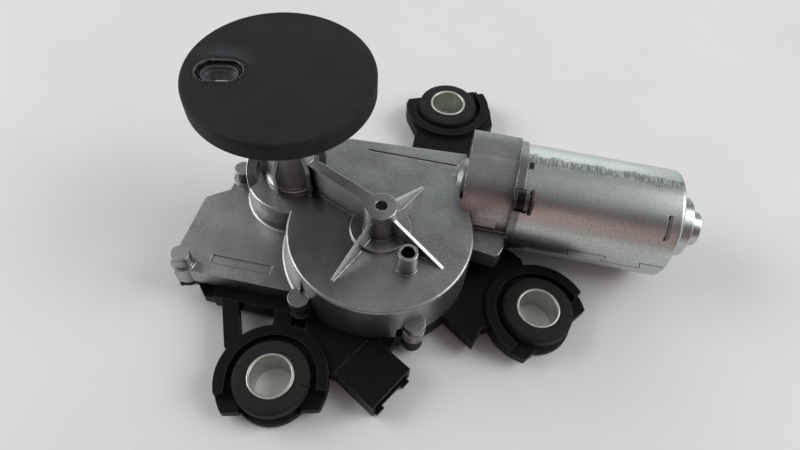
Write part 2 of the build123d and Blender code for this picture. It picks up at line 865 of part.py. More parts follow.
def motor_yoke():
    """The rolled steel can with its stepped end and two fixing ears."""
    inner = can_radius - can_wall
    points = [
        (can_start, inner),
        (can_start, can_radius),
        (can_end, can_radius, can_corner_round),
        (can_end, step_radius + 0.6, 0.5),
        (step_end, step_radius, 0.8),
        (step_end, nose_radius + 0.4, 0.4),
        (nose_end, nose_radius, 0.8),
        (nose_end, 0),
        (nose_end - can_wall, 0),
        (nose_end - can_wall, nose_radius - can_wall),
        (step_end - can_wall, nose_radius - can_wall),
        (step_end - can_wall, step_radius - can_wall),
        (can_end - can_wall, step_radius - can_wall),
        (can_end - can_wall, inner, 1.0),
    ]
    can = turned_on_shaft(points)
    for turn in (0, 180):
        reach = motor_screw_circle - inner
        ear = Box(can_ear, reach, 2 * ear_radius, align=(Align.MIN, Align.MAX, Align.CENTER))
        ear = Pos(can_start, shaft_y + motor_screw_circle, shaft_z) * ear
        ear += Pos(0, motor_screw_circle, 0) * barrel(ear_radius, can_start, can_start + can_ear)
        ear -= barrel(inner + 0.2, can_start - 1, can_end)
        hole = barrel(motor_screw_radius + 0.1, can_start - 1, can_start + 8)
        ear -= Pos(0, motor_screw_circle, 0) * hole
        can += around_shaft(ear, motor_screw_angle + turn)
    slot = Box(can_slot_width, 2 * can_slot_depth, can_slot_length)
    slot = Pos(can_end - can_slot_from_end, shaft_y + can_radius, shaft_z) * slot
    return can - around_shaft(slot, can_slot_angle)


def motor_screws():
    """The two screws that clamp the can to the gear case."""
    screws = []
    for turn in (0, 180):
        ear_face = can_start + can_ear
        seat = ear_face + screw_shoulder
        top = seat + motor_screw_head
        shank = barrel(motor_screw_radius, flange_start - motor_screw_reach, seat + 0.5)
        shank += barrel(motor_screw_radius + 0.9, ear_face, seat + 0.5)
        rim = motor_screw_head_radius
        head = turned_on_shaft([(seat, 0), (seat, rim), (top - 0.7, rim), (top, rim - 0.8), (top, 0)])
        screw = Pos(0, motor_screw_circle, 0) * (shank + head)
        cross = Box(1.8, 4.6, 1.0) + Box(1.8, 1.0, 4.6)
        screw -= Pos(top, shaft_y + motor_screw_circle, shaft_z) * cross
        screws.append(around_shaft(screw, motor_screw_angle + turn))
    return screws


def bent_plate(inner, outer, start, end, span):
    """Part of a ring round the X axis, through an angle that starts at +Y."""
    corners = [(start, inner), (end, inner), (end, outer), (start, outer)]
    return revolve(outline(corners), Axis.X, span)


def magnet(turn):
    """A curved ferrite magnet against the wall of the can."""
    outer = can_radius - can_wall - seat_gap
    arc = bent_plate(outer - magnet_thickness, outer, magnet_start, magnet_end, magnet_arc)
    return Pos(0, shaft_y, shaft_z) * Rot(turn + 90 - magnet_arc / 2, 0, 0) * arc


def magnet_clips():
    """The two sprung clips that press the magnets apart."""
    clips = []
    outer = can_radius - can_wall - seat_gap
    for turn in (90, 270):
        span = 180 - magnet_arc - 2
        arc = bent_plate(outer - clip_thickness, outer, magnet_start + 3, magnet_end - 3, span)
        clips.append(Pos(0, shaft_y, shaft_z) * Rot(turn + 90 - span / 2, 0, 0) * arc)
    return clips


def shaft_bearing(start, end, outer):
    """A sintered bush for the armature shaft."""
    return hollow_barrel(armature_shaft_radius + running_gap, outer, start, end)


def tail_bearing():
    """The bush in the nose of the can."""
    end = nose_end - can_wall - 1
    return shaft_bearing(end - 4, end, nose_radius - can_wall - seat_gap)


def armature_shaft():
    """The armature shaft, with the worm cut on its end."""
    tail = nose_end - can_wall - loose_gap
    head = rear_wall_left - 1 + 1.5
    shaft = barrel(armature_shaft_radius, head, tail)
    root = worm_pitch_radius - 1.15 * worm_module
    middle = wheel_centre[0]
    start = middle - worm_length / 2
    shaft += barrel(root, start - 2, start + worm_length + 2)
    tip = worm_pitch_radius + 0.85 * worm_module
    width = 0.36 * worm_pitch
    path = Helix(worm_pitch, worm_length, root - 0.1)
    foot = root - 0.2
    tooth = [(foot, -width * 0.75), (tip, -width * 0.3), (tip, width * 0.3), (foot, width * 0.75)]
    thread = sweep(Plane.XZ * outline(tooth), path=path, is_frenet=True)
    turn_share = (worm_length / 2) / worm_pitch
    phase = 360 * (turn_share - math.floor(turn_share))
    thread = Pos(start, shaft_y, shaft_z) * Rot(90 - phase, 0, 0) * Rot(0, 90, 0) * thread
    return shaft + thread


def armature_core():
    """The stack of laminations, with a slot for each coil."""
    core = hollow_barrel(armature_shaft_radius + seat_gap, core_radius, core_start, core_end)
    slot = Box(core_end - core_start + 2, core_slot_width, core_radius, align=ALONG_UP)
    slot = Pos(core_start - 1, shaft_y, shaft_z + core_radius / 2) * slot
    for index in range(core_slots):
        core -= around_shaft(slot, index * 360 / core_slots)
    return core


def armature_windings():
    """The copper end turns at both ends of the core."""
    ends = []
    for start in (core_start - winding_length, core_end):
        points = [
            (start, armature_shaft_radius + seat_gap),
            (start, core_radius - 4.5),
            (start + 1.5, core_radius - 3),
            (start + winding_length - 1.5, core_radius - 3),
            (start + winding_length, core_radius - 4.5),
            (start + winding_length, armature_shaft_radius + seat_gap),
        ]
        ends.append(turned_on_shaft(points))
    return ends


def commutator():
    """The copper commutator, with a groove between bars."""
    bore = armature_shaft_radius + seat_gap
    drum = hollow_barrel(bore, commutator_radius, commutator_start, commutator_end)
    cut = Box(commutator_end - commutator_start - 1, bar_gap, 2, align=ALONG_UP)
    cut = Pos(commutator_start - 1, shaft_y, shaft_z + commutator_radius - bar_gap_depth) * cut
    for index in range(commutator_bars):
        drum -= around_shaft(cut, index * 360 / commutator_bars)
    return drum


def brush_card():
    """The plastic card that holds the brushes round the commutator."""
    edge = chamber_radius - brush_play
    inner = commutator_radius + card_clearance
    card = hollow_barrel(inner, edge, card_start, card_start + card_thickness)
    channel = (brush_size[0] + 2 * brush_play, 20, brush_size[2] + 2 * brush_play)
    for turn in (0, 180):
        guide = Box(*guide_size, align=CORNER)
        guide = Pos(commutator_start - 1, shaft_y + commutator_radius + 1.5, shaft_z) * guide
        guide -= Pos(commutator_start + 0.2, shaft_y, shaft_z) * Box(*channel, align=CORNER)
        card += around_shaft(guide & barrel(edge, card_start, can_start), turn)
    return card


def carbon_brushes():
    """The two brushes in their guides."""
    brushes = []
    for turn in (0, 180):
        brush = Box(*brush_size, align=CORNER)
        brush = Pos(commutator_start + 0.2 + brush_play, shaft_y, shaft_z) * brush
        brush -= barrel(commutator_radius + loose_gap, commutator_start - 1, can_start)
        brushes.append(around_shaft(brush, turn))
    return brushes


def brush_springs():
    """The leaf springs behind the brushes."""
    springs = []
    start = commutator_start + 0.6
    for turn in (0, 180):
        leaf = Pos(start, shaft_y + spring_place, shaft_z) * Box(*spring_size, align=CORNER)
        tab = Box(*spring_tab, align=CORNER)
        leaf += Pos(start, shaft_y + spring_place + spring_size[1], shaft_z) * tab
        springs.append(around_shaft(leaf, turn))
    return springs


def choke_coils():
    """The two suppression chokes on the card."""
    coils = []
    coil = barrel(choke_radius, card_start + card_thickness, card_start + card_thickness + choke_length)
    for turn in (90, 270):
        coils.append(around_shaft(Pos(0, choke_place, 0) * coil, turn))
    return coils


def thrust_pad():
    """The hard pad that takes the end thrust of the worm."""
    start = rear_wall_left - 1
    return barrel(thrust_pad_radius, start, start + thrust_pad_thickness)


# ---------------------------------------------------------------- gears and crank drive


def worm_wheel():
    """The moulded wheel, with its toothed rim, web and hub."""
    root = wheel_pitch_radius - 1.2 * worm_module
    corners = gear_face(wheel_teeth, worm_module, 0.34, 0, wheel_teeth, 90, root)
    teeth = prism(outline(corners), wheel_mid_z - wheel_face / 2, wheel_mid_z + wheel_face / 2)
    rim = Circle(root - 0.05)
    wheel = teeth + prism(rim, wheel_low, wheel_high)
    pocket = Circle(root - 3) - Circle(wheel_hub_radius)
    wheel -= prism(pocket, wheel_mid_z + 1.5, wheel_high + 1)
    wheel += prism(Circle(wheel_hub_radius), wheel_mid_z, drum_roof - 0.5)
    for index in range(6):
        spoke = Rot(0, 0, 30 + index * 60) * Box(root - 2, 1.6, 2.4, align=ALONG_UP)
        wheel += Pos(0, 0, wheel_mid_z + 1.4) * spoke
    wheel = Pos(wheel_centre[0], wheel_centre[1], 0) * wheel
    wheel -= post(wheel_centre, axle_radius + seat_gap, wheel_low + 1.5, drum_roof + 1)
    return wheel - post(crank_pin, crank_pin_radius + running_gap, wheel_low - 1, wheel_mid_z)


def wheel_axle():
    """The steel axle that turns in the hub boss."""
    return post(wheel_centre, axle_radius, wheel_low + 1.5, hub_boss_top - 3.5)


def contact_disc():
    """The copper park-switch track under the wheel."""
    ring = Circle(contact_disc_outer) - Circle(contact_disc_inner)
    gap = Rot(0, 0, 40) * Pos(contact_disc_inner + 2, 0) * Rectangle(8, 8)
    disc = prism(ring - gap, wheel_low - contact_disc_thickness, wheel_low)
    return Pos(wheel_centre[0], wheel_centre[1], 0) * disc


def pinion():
    """The pinion on the output shaft."""
    root = pinion_pitch_radius - 1.15 * sector_module
    corners = gear_face(pinion_teeth, sector_module, 0.4, 0, pinion_teeth, link_angle, root)
    gear = Pos(*output_centre) * outline(corners)
    gear -= Pos(*output_centre) * Circle(shaft_foot_radius + seat_gap)
    return prism(gear, rod_low, rod_low + rod_thickness + 0.5)


def sector_rod():
    """The rod with a toothed sector at one end and the crank eye at the other."""
    root = sector_pitch_radius - 1.15 * sector_module
    step = 360 / sector_full_teeth
    facing = link_angle + 180
    reach = sector_teeth * step / 2
    first = facing - reach + step / 2
    corners = gear_face(sector_full_teeth, sector_module, 0.4, 0, sector_teeth, first, root)
    corners = [(0, 0)] + corners
    toothed = Pos(*sector_centre) * outline(corners)
    hub = Pos(*sector_centre) * Circle(eye_radius)
    eye = Pos(*crank_pin) * Circle(eye_radius)
    middle = ((sector_centre[0] + crank_pin[0]) / 2, (sector_centre[1] + crank_pin[1]) / 2)
    bar = Pos(*middle) * Rectangle(rod_length, 8.4)
    plan = toothed + hub + eye + bar
    plan -= Pos(*sector_centre) * Circle(pivot_radius + running_gap)
    plan -= Pos(*crank_pin) * Circle(crank_pin_radius + seat_gap)
    rod = prism(plan, rod_low, rod_low + rod_thickness)
    groove = Pos(*middle) * Rectangle(rod_length - 2 * eye_radius - 2, 4.4)
    return rod - prism(groove, rod_low + rod_thickness - 1.2, rod_low + rod_thickness + 1)


def crank_pin_part():
    """The pin in the rod's eye, which the wheel's eccentric bore carries."""
    return post(crank_pin, crank_pin_radius, rod_low - 0.2, wheel_low - loose_gap)


def guide_link():
    """The steel link that holds the sector in mesh with the pinion."""
    ends = [output_centre, sector_centre]
    middle = ((ends[0][0] + ends[1][0]) / 2, (ends[0][1] + ends[1][1]) / 2)
    plan = Pos(*middle) * Rot(0, 0, link_angle) * Rectangle(link_length, 11)
    plan += Pos(*output_centre) * Circle(shaft_foot_radius + 3.2) + Pos(*sector_centre) * Circle(5.5)
    plan -= Pos(*output_centre) * Circle(shaft_foot_radius + running_gap)
    plan -= Pos(*sector_centre) * Circle(pivot_radius + seat_gap)
    return prism(plan, link_low, link_low + link_thickness)


def sector_pivot():
    """The pivot pin riveted in the link."""
    top = rod_low + rod_thickness + 1.4
    pin = post(sector_centre, pivot_radius, link_low, top)
    return pin + post(sector_centre, pivot_radius + 1.4, top - 1.0, top)


def output_shaft():
    """The output shaft, with a groove for its retaining ring."""
    ring_low = tower_top + ring_lift
    points = [
        (0, shaft_low),
        (shaft_foot_radius - 0.6, shaft_low),
        (shaft_foot_radius, shaft_low + 0.6),
        (shaft_foot_radius, rod_low + rod_thickness + 0.8),
        (shaft_radius, rod_low + rod_thickness + 0.8),
        (shaft_radius, ring_low),
        (shaft_radius - ring_depth, ring_low),
        (shaft_radius - ring_depth, ring_low + ring_slot),
        (shaft_radius, ring_low + ring_slot),
        (shaft_radius, disc_top - disc_cap - 0.8),
        (shaft_radius - 0.8, disc_top - disc_cap),
        (0, disc_top - disc_cap),
    ]
    return turned(points, output_centre)


def retaining_ring():
    """The ring that holds the shaft up against the washer."""
    inner = shaft_radius - ring_depth + seat_gap
    low = tower_top + ring_lift + seat_gap
    high = tower_top + ring_lift + ring_slot - seat_gap
    return tube(output_centre, inner, shaft_radius + 2.2, low, high)


def shaft_washer():
    """The washer between the tower and the retaining ring."""
    inner = shaft_radius + running_gap
    high = tower_top + ring_lift - seat_gap
    return tube(output_centre, inner, shaft_radius + 2.6, tower_top + loose_gap, high)


def tower_bush(low, high):
    """A sintered bush for the output shaft."""
    inner = shaft_radius + running_gap
    return tube(output_centre, inner, inner + bush_wall, low, high)


def wheel_bush():
    """The sintered bush in the hub boss, which carries the wheel's axle."""
    inner = axle_radius + running_gap
    return tube(wheel_centre, inner, inner + bush_wall, drum_roof, hub_boss_top - 3.2)


def shaft_seal():
    """The lip seal above the upper bush."""
    inner = shaft_radius + running_gap
    return tube(output_centre, inner, inner + bush_wall, tower_top - 2.4, tower_top - 0.2)


def drive_disc():
    """The disc that drives the wiper, with a hub below and a stepped slot recess."""
    points = [
        (0, disc_low),
        (disc_radius - 0.5, disc_low),
        (disc_radius, disc_low + 0.5),
        (disc_radius, disc_top, 0.9),
        (0, disc_top),
    ]
    disc = turned(points, output_centre)
    disc += post(output_centre, disc_hub_radius, disc_low - disc_hub_drop, disc_low + 1)
    disc -= post(output_centre, shaft_radius + seat_gap, disc_low - 5, disc_top - disc_cap + 0.05)
    place = polar(output_centre, slot_offset, slot_angle)
    recess = SlotOverall(slot_recess_length, slot_recess_width)
    seat = SlotOverall(slot_recess_length - 3.2, slot_recess_width - 3.0)
    turn = Pos(*place) * Rot(0, 0, slot_angle)
    disc -= prism(turn * recess, disc_top - slot_recess_depth, disc_top + 1)
    return disc - prism(turn * seat, disc_low - 1, disc_top)


def slot_insert():
    """The hard insert in the disc that takes the drive pin of the wiper."""
    place = polar(output_centre, slot_offset, slot_angle)
    turn = Pos(*place) * Rot(0, 0, slot_angle)
    body = SlotOverall(slot_recess_length - 3.2 - 2 * seat_gap, slot_recess_width - 3.0 - 2 * seat_gap)
    hole = SlotOverall(slot_length, slot_width)
    return prism(turn * (body - hole), disc_low + 0.5, disc_top - slot_recess_depth - 0.4)


def build():
    """Every piece under its own name."""
    parts = {
        "gear_housing": gear_housing(),
        "cover_gasket": cover_gasket(),
        "bracket_cover": bracket_cover(),
        "cover_screws": cover_screws(),
        "connector_shell": connector_shell(),
        "connector_terminals": connector_terminals(),
        "contact_plate": contact_plate(),
        "park_contacts": park_contacts(),
        "motor_yoke": motor_yoke(),
        "motor_screws": motor_screws(),
        "magnet_upper": magnet(0),
        "magnet_lower": magnet(180),
        "magnet_clips": magnet_clips(),
        "armature_shaft": armature_shaft(),
        "armature_core": armature_core(),
        "armature_windings": armature_windings(),
        "commutator": commutator(),
        "brush_card": brush_card(),
        "carbon_brushes": carbon_brushes(),
        "brush_springs": brush_springs(),
        "choke_coils": choke_coils(),
        "tail_bearing": tail_bearing(),
        "middle_bearing": shaft_bearing(chamber_start - 6, chamber_start - 0.2, bearing_outer),
        "end_bearing": shaft_bearing(rear_wall_left + 1, rear_wall_left + 7, bearing_outer),
        "thrust_pad": thrust_pad(),
        "worm_wheel": worm_wheel(),
        "wheel_axle": wheel_axle(),
        "wheel_bush": wheel_bush(),
        "contact_disc": contact_disc(),
        "output_pinion": pinion(),
        "sector_rod": sector_rod(),
        "crank_pin": crank_pin_part(),
        "guide_link": guide_link(),
        "sector_pivot": sector_pivot(),
        "output_shaft": output_shaft(),
        "lower_bush": tower_bush(wing_roof + 0.5, wing_roof + 11),
        "upper_bush": tower_bush(tower_top - 12, tower_top - 2.6),
        "shaft_seal": shaft_seal(),
        "shaft_washer": shaft_washer(),
        "retaining_ring": retaining_ring(),
        "drive_disc": drive_disc(),
        "slot_insert": slot_insert(),
    }
    for name, centre in bushes.items():
        parts[name + "_sleeve"] = sleeve(centre)
        parts[name + "_grommet"] = grommet(centre)
    return parts


os.makedirs("parts", exist_ok=True)
for name, part in build().items():
    pieces = part if isinstance(part, list) else [part]
    solids = [solid for piece in pieces for solid in piece.solids()]
    export_step(Compound(solids), "parts/" + name + ".step")
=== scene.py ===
"""Finishes and fine pieces for a rear wiper motor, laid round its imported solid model.

Everything is in metres, in the model's own frame: the origin is under the corner mounting
sleeve, +X runs along the motor to its closed end, +Y to the rear and +Z up.
"""

import math

import bpy
import numpy as np
from bpy.props import FloatProperty, FloatVectorProperty, IntProperty, PointerProperty
from mathutils import Matrix, Vector


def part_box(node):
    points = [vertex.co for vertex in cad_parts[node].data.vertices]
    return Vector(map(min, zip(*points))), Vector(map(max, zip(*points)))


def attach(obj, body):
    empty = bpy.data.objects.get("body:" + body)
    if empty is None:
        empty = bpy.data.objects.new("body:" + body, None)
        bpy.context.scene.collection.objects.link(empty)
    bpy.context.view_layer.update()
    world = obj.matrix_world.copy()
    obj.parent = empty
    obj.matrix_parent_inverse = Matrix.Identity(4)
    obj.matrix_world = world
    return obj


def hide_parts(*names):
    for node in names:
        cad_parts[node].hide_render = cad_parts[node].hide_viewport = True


bl_info = {
    "name": "Rear wiper motor finish",
    "version": (1, 0, 0),
    "blender": (4, 5, 0),
    "location": "View3D > Sidebar > Wiper motor",
    "description": "Dresses the packed rear wiper motor with its finishes and fine pieces",
    "category": "Object",
}

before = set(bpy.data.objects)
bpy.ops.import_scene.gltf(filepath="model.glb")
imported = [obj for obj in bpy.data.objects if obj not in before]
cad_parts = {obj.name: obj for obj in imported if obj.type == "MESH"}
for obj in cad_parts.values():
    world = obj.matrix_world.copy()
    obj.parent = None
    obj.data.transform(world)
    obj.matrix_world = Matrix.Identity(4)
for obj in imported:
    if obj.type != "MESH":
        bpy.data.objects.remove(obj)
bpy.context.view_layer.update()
MM = 0.001
TURN = 2 * math.pi

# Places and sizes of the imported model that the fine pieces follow
DRUM_CENTRE = (-61.6 * MM, 8.8 * MM)
DRUM_RADIUS = 33.5 * MM
TOWER_CENTRE = (-98.3 * MM, 25.7 * MM)
LEDGE_RADIUS = 18.0 * MM
WING_TOP = 18.3 * MM
HALF_BOSS_REACH = 34.0 * MM
HALF_BOSS_ANGLE = math.radians(-57.2)
DISC_SLOT_TURN = 192.0
DISC_TOP = 79.47
CAN_AROUND = 0.0206
GROOVE_RADIUS = 10.2 * MM
GROOVE_LOW, GROOVE_HIGH = 3.46 * MM, 7.04 * MM
SLEEVE_WALL = 1.0 * MM

# Fixed tones of the finishes
PORE_DARK = (0.04, 0.04, 0.04)
# Painted shade on the ear of the casting's flange
FLANGE_EAR_SHADE = (0.02, 0.02, 0.021)
ZINC_SHINE = (0.80, 0.84, 0.83)
ZINC_CLOUD = (0.66, 0.70, 0.69)
# Painted highlight on the can's edges
ZINC_EDGE_HIGHLIGHT = (0.80, 0.82, 0.81)
# Painted shade on the can's ear
CAN_EAR_SHADE = (0.05, 0.045, 0.04)
# Painted highlight on the drive disc's edges
DISC_EDGE_HIGHLIGHT = (0.05, 0.05, 0.052)
SCRAPED_DISC = (0.004, 0.004, 0.005)
DISC_FLAKE = (0.22, 0.24, 0.25)
DUST = (0.30, 0.30, 0.29)
COVER_DUST = (0.16, 0.16, 0.155)
RUBBER_DUST = (0.22, 0.22, 0.21)
# Painted highlight on the grommets' edges
RUBBER_EDGE_HIGHLIGHT = (0.035, 0.035, 0.035)
BARE_EDGE = (0.30, 0.24, 0.21)
CONNECTOR_BLACK = [0.0035, 0.0037, 0.0042]

# Inner pieces: finish, colour, (roughness, line size, stain) or roughness, and the nodes
GEAR_STEEL = "armature_shaft output_shaft wheel_axle output_pinion sector_pivot crank_pin"
STAMPED = "armature_core sector_rod guide_link shaft_washer thrust_pad"
BEARINGS = "tail_bearing middle_bearing end_bearing wheel_bush lower_bush upper_bush"
INNER_METALS = (
    ("ground_steel", (0.56, 0.56, 0.57), (0.24, 0.15, 0.2), GEAR_STEEL),
    ("pressed_steel", (0.44, 0.44, 0.45), (0.38,), STAMPED),
    ("spring_steel", (0.26, 0.26, 0.28), (0.34,), "retaining_ring magnet_clips brush_springs"),
    ("sintered_bronze", (0.42, 0.29, 0.17), (0.5, 0.2), BEARINGS),
    ("copper", (0.72, 0.35, 0.22), (0.34,), "commutator contact_disc"),
    ("enamelled_copper", (0.45, 0.15, 0.06), (0.3, 0.4), "armature_windings"),
    ("tinned_spring", (0.60, 0.59, 0.56), (0.32,), "park_contacts"),
)
FERRITES = "magnet_upper magnet_lower choke_coils carbon_brushes"
INNER_MOULDINGS = (
    ("nylon", (0.72, 0.70, 0.64), 0.45, "worm_wheel"),
    ("laminate", (0.20, 0.10, 0.045), 0.5, "contact_plate brush_card"),
    ("ferrite", (0.045, 0.045, 0.05), 0.6, FERRITES),
    ("seal_rubber", (0.012, 0.012, 0.012), 0.6, "shaft_seal"),
)


# ---- sizes and colours


def colour(name, description, default):
    """A colour setting."""
    return FloatVectorProperty(
        name=name, description=description, default=default, subtype="COLOR", min=0, max=1
    )


def length(name, description, default):
    """A length setting in metres."""
    return FloatProperty(name=name, description=description, default=default, unit="LENGTH")


def power(name, description, default):
    """The power of a lamp."""
    return FloatProperty(name=name, description=description, default=default, unit="POWER")


def arrow(name, description, default):
    """A place or a direction."""
    return FloatVectorProperty(
        name=name, description=description, default=default, subtype="XYZ"
    )


class WiperStageSettings(bpy.types.PropertyGroup):
    """The floor, the light and the camera."""

    floor_colour: colour("Floor", "Colour of the pale floor", (0.80, 0.795, 0.795))
    sky_colour: colour("Room", "Colour of the light from all round", (0.62, 0.64, 0.67))
    viewer_colour: colour("Viewer", "Colour of the dim side in front", (0.14, 0.075, 0.075))
    sky_power: FloatProperty(
        name="Room light", description="Strength of the light from all round", default=0.49
    )
    side_power: power("Side lights", "Power of each soft light beside", 8.3)
    side_size: length("Side size", "Side of each soft light beside", 0.8)
    back_power: power("Back light", "Power of the low light behind", 2.5)
    front_power: power("Front light", "Power of the warm fill", 0.4)
    camera_place: arrow("Camera", "Where the camera stands", (-0.0398, -0.1060, 0.2023))
    camera_forward: arrow("Looks along", "Direction of view", (-0.0733, 0.5636, -0.8228))
    camera_up: arrow("Up", "Upwards in the picture", (-0.1896, 0.8021, 0.5664))
    camera_lens: FloatProperty(
        name="Lens", description="Focal length in millimetres", default=26.2
    )


class WiperMetalSettings(bpy.types.PropertyGroup):
    """Colours of the metal finishes."""

    cast_colour: colour("Cast aluminium", "Skin of the die casting", (0.42, 0.425, 0.42))
    # Paler cast tone: scratches and rubbed patches, and the painted highlight along the casting's
    # edges
    cast_worn_and_highlight: colour("Worn aluminium", "Rubbed edges of the die casting", (0.78, 0.78, 0.77))
    cast_stain: colour("Stained aluminium", "Dull patches of the casting", (0.26, 0.265, 0.265))
    # Darker cast tone: random dapple, and painted shade in the corners and over the flange
    cast_dapple_and_shade: colour("Dark hollows", "Unrubbed corners of the die casting", (0.10, 0.10, 0.102))
    zinc_colour: colour("Zinc plate", "Plating of the can", (0.53, 0.575, 0.56))
    # Dull zinc: random spangle and the scuffed band, and painted shade in the can's hollows
    zinc_dull_and_shade: colour("Dull zinc", "Scuffed plating of the can", (0.33, 0.35, 0.35))
    sleeve_colour: colour("Sleeve", "Passivated steel of the sleeves", (0.60, 0.63, 0.56))
    screw_colour: colour("Screw", "Brown coating of the motor screws", (0.085, 0.052, 0.043))


class WiperMouldingSettings(bpy.types.PropertyGroup):
    """Colours of the moulded parts and the rubber."""

    cover_colour: colour("Cover", "Glass-filled black moulding", (0.0017, 0.0017, 0.0022))
    disc_colour: colour("Disc", "Charcoal moulding of the drive disc", (0.0122, 0.0121, 0.0145))
    haze_colour: colour("Haze", "Pale bloom round the slot", (0.055, 0.064, 0.068))
    rubber_colour: colour("Rubber", "Rubber of the grommets", (0.0105, 0.0107, 0.0105))
    insert_colour: colour("Insert", "Smooth grey insert", (0.075, 0.085, 0.09))


class WiperPieceSettings(bpy.types.PropertyGroup):
    """Sizes of the fine pieces."""

    grommet_round: length("Grommet edge", "Radius of the grommets' outer edges", 1.0 * MM)
    parting_depth: length("Parting line", "Depth of the lines across a grommet", 0.45 * MM)
    sleeve_chamfer: length("Sleeve chamfer", "Chamfer on a sleeve's ends", 0.22 * MM)
    seam_width: length("Seam", "Width of the can's dovetailed seam", 0.28 * MM)
    seam_height: length("Seam height", "How far the seam's burr stands out", 0.04 * MM)
    thread_pitch: length("Thread pitch", "Pitch of the cover screws", 1.4 * MM)
    motor_pitch: length("Motor screw pitch", "Pitch of the motor screws", 0.8 * MM)
    around: IntProperty(
        name="Segments", description="Steps round a turned piece", default=160, min=32
    )


SETTINGS = {
    "wiper_stage": WiperStageSettings,
    "wiper_metal": WiperMetalSettings,
    "wiper_moulding": WiperMouldingSettings,
    "wiper_piece": WiperPieceSettings,
}


# ---- surfaces


def rounded(corners, steps=5):
    """A profile whose corners are rounded.

    corners holds (radius, height, rounding) rows. Each corner is swapped for the parabola
    a(1-t)^2 + 2c t(1-t) + b t^2, where c is the corner and a and b lie the rounding away
    from it along its two sides.
    """
    rows = np.array(corners, float)
    place, size = rows[:, :2], rows[:, 2:3]
    before = np.roll(place, 1, axis=0) - place
    after = np.roll(place, -1, axis=0) - place
    before /= np.linalg.norm(before, axis=1, keepdims=True)
    after /= np.linalg.norm(after, axis=1, keepdims=True)
    t = np.linspace(0, 1, steps)[None, :, None]
    start, end = (place + before * size)[:, None], (place + after * size)[:, None]
    curve = start * (1 - t) ** 2 + 2 * place[:, None] * t * (1 - t) + end * t**2
    return curve.reshape(-1, 2)


def turned(profile, centre, angles):
    """A surface of revolution: radius r at angle a goes to (cx + r cos a, cy + r sin a, z)."""
    a = np.asarray(angles)[:, None]
    r, z = profile[None, :, 0], profile[None, :, 1]
    x = centre[0] + r * np.cos(a)
    y = centre[1] + r * np.sin(a)
    return np.stack([x, y, z + 0 * a], axis=2)


def full_turn(count):
    """Equal angles once round, without the last, which is the first again."""
    return np.linspace(0, TURN, count, endpoint=False)


def grid_faces(rows, columns, wrap_rows, wrap_columns, first=0):
    """Quads over a grid of rows x columns points, closed on itself where it wraps."""
    i = np.arange(rows if wrap_rows else rows - 1)[:, None]
    j = np.arange(columns if wrap_columns else columns - 1)[None, :]
    right, down = (i + 1) % rows, (j + 1) % columns
    corners = [i * columns + j, i * columns + down, right * columns + down, right * columns + j]
    return first + np.stack([c + 0 * (i + j) for c in corners], axis=2).reshape(-1, 4)


def placed(name, data):
    """A new object in the scene."""
    made = bpy.data.objects.new(name, data)
    bpy.context.scene.collection.objects.link(made)
    return made


def mesh_piece(name, grids, skin, body="case", replaces=(), smooth_angle=40.0):
    """A piece with one finish that rides on a body, from grids of points.

    Each grid is (points, wrap rows, wrap columns) or has a fourth entry, which closes the
    rings at its two open ends with a flat face each.
    """
    points, faces, first = [], [], 0
    for grid, wrap_rows, wrap_columns, *capped in grids:
        rows, columns = grid.shape[:2]
        points.append(grid.reshape(-1, 3))
        faces += grid_faces(rows, columns, wrap_rows, wrap_columns, first).tolist()
        if capped and wrap_rows:
            ring = first + np.arange(rows) * columns
            faces += [ring.tolist(), (ring[::-1] + columns - 1).tolist()]
        elif capped:
            ring = first + np.arange(columns)
            faces += [ring[::-1].tolist(), (ring + (rows - 1) * columns).tolist()]
        first += rows * columns
    mesh = bpy.data.meshes.new(name)
    mesh.from_pydata(np.concatenate(points).tolist(), [], faces)
    mesh.update()
    piece = placed(name, mesh)
    mesh.shade_smooth()
    mesh.set_sharp_from_angle(angle=math.radians(smooth_angle))
    if replaces:
        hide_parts(*replaces)
    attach(piece, body)
    wear(piece, skin)


def wear(piece, material):
    """Gives a piece its only material."""
    piece.data.materials.clear()
    piece.data.materials.append(material)


def dress(node, material):
    """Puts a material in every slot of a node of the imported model."""
    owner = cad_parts[node]
    for slot in owner.material_slots:
        slot.material = material


def shade(colour_parts, factor, lift=0.0):
    """A colour made darker or paler: each part times the factor plus the lift, at most 1."""
    return [min(1.0, part * factor + lift) for part in colour_parts]


def middle(node):
    """The middle of a node's box."""
    low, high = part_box(node)
    return (low + high) / 2


def node_points(node):
    """The corners of a node's mesh, as rows of x, y and z."""
    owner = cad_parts[node]
    points = np.empty(3 * len(owner.data.vertices), np.float32)
    owner.data.vertices.foreach_get("co", points)
    turn = np.array(owner.matrix_world)
    return points.reshape(-1, 3) @ turn[:3, :3].T + turn[:3, 3]


def separate_boxes(node, along, reach):
    """The boxes of a node's solids, which stand further apart than reach across one axis."""
    left = node_points(node)
    across = [axis for axis in range(3) if axis != along]
    boxes = []
    while len(left):
        near = np.linalg.norm(left[:, across] - left[0, across], axis=1) < reach
        boxes.append((left[near].min(axis=0), left[near].max(axis=0)))
        left = left[~near]
    return boxes


# ---- materials


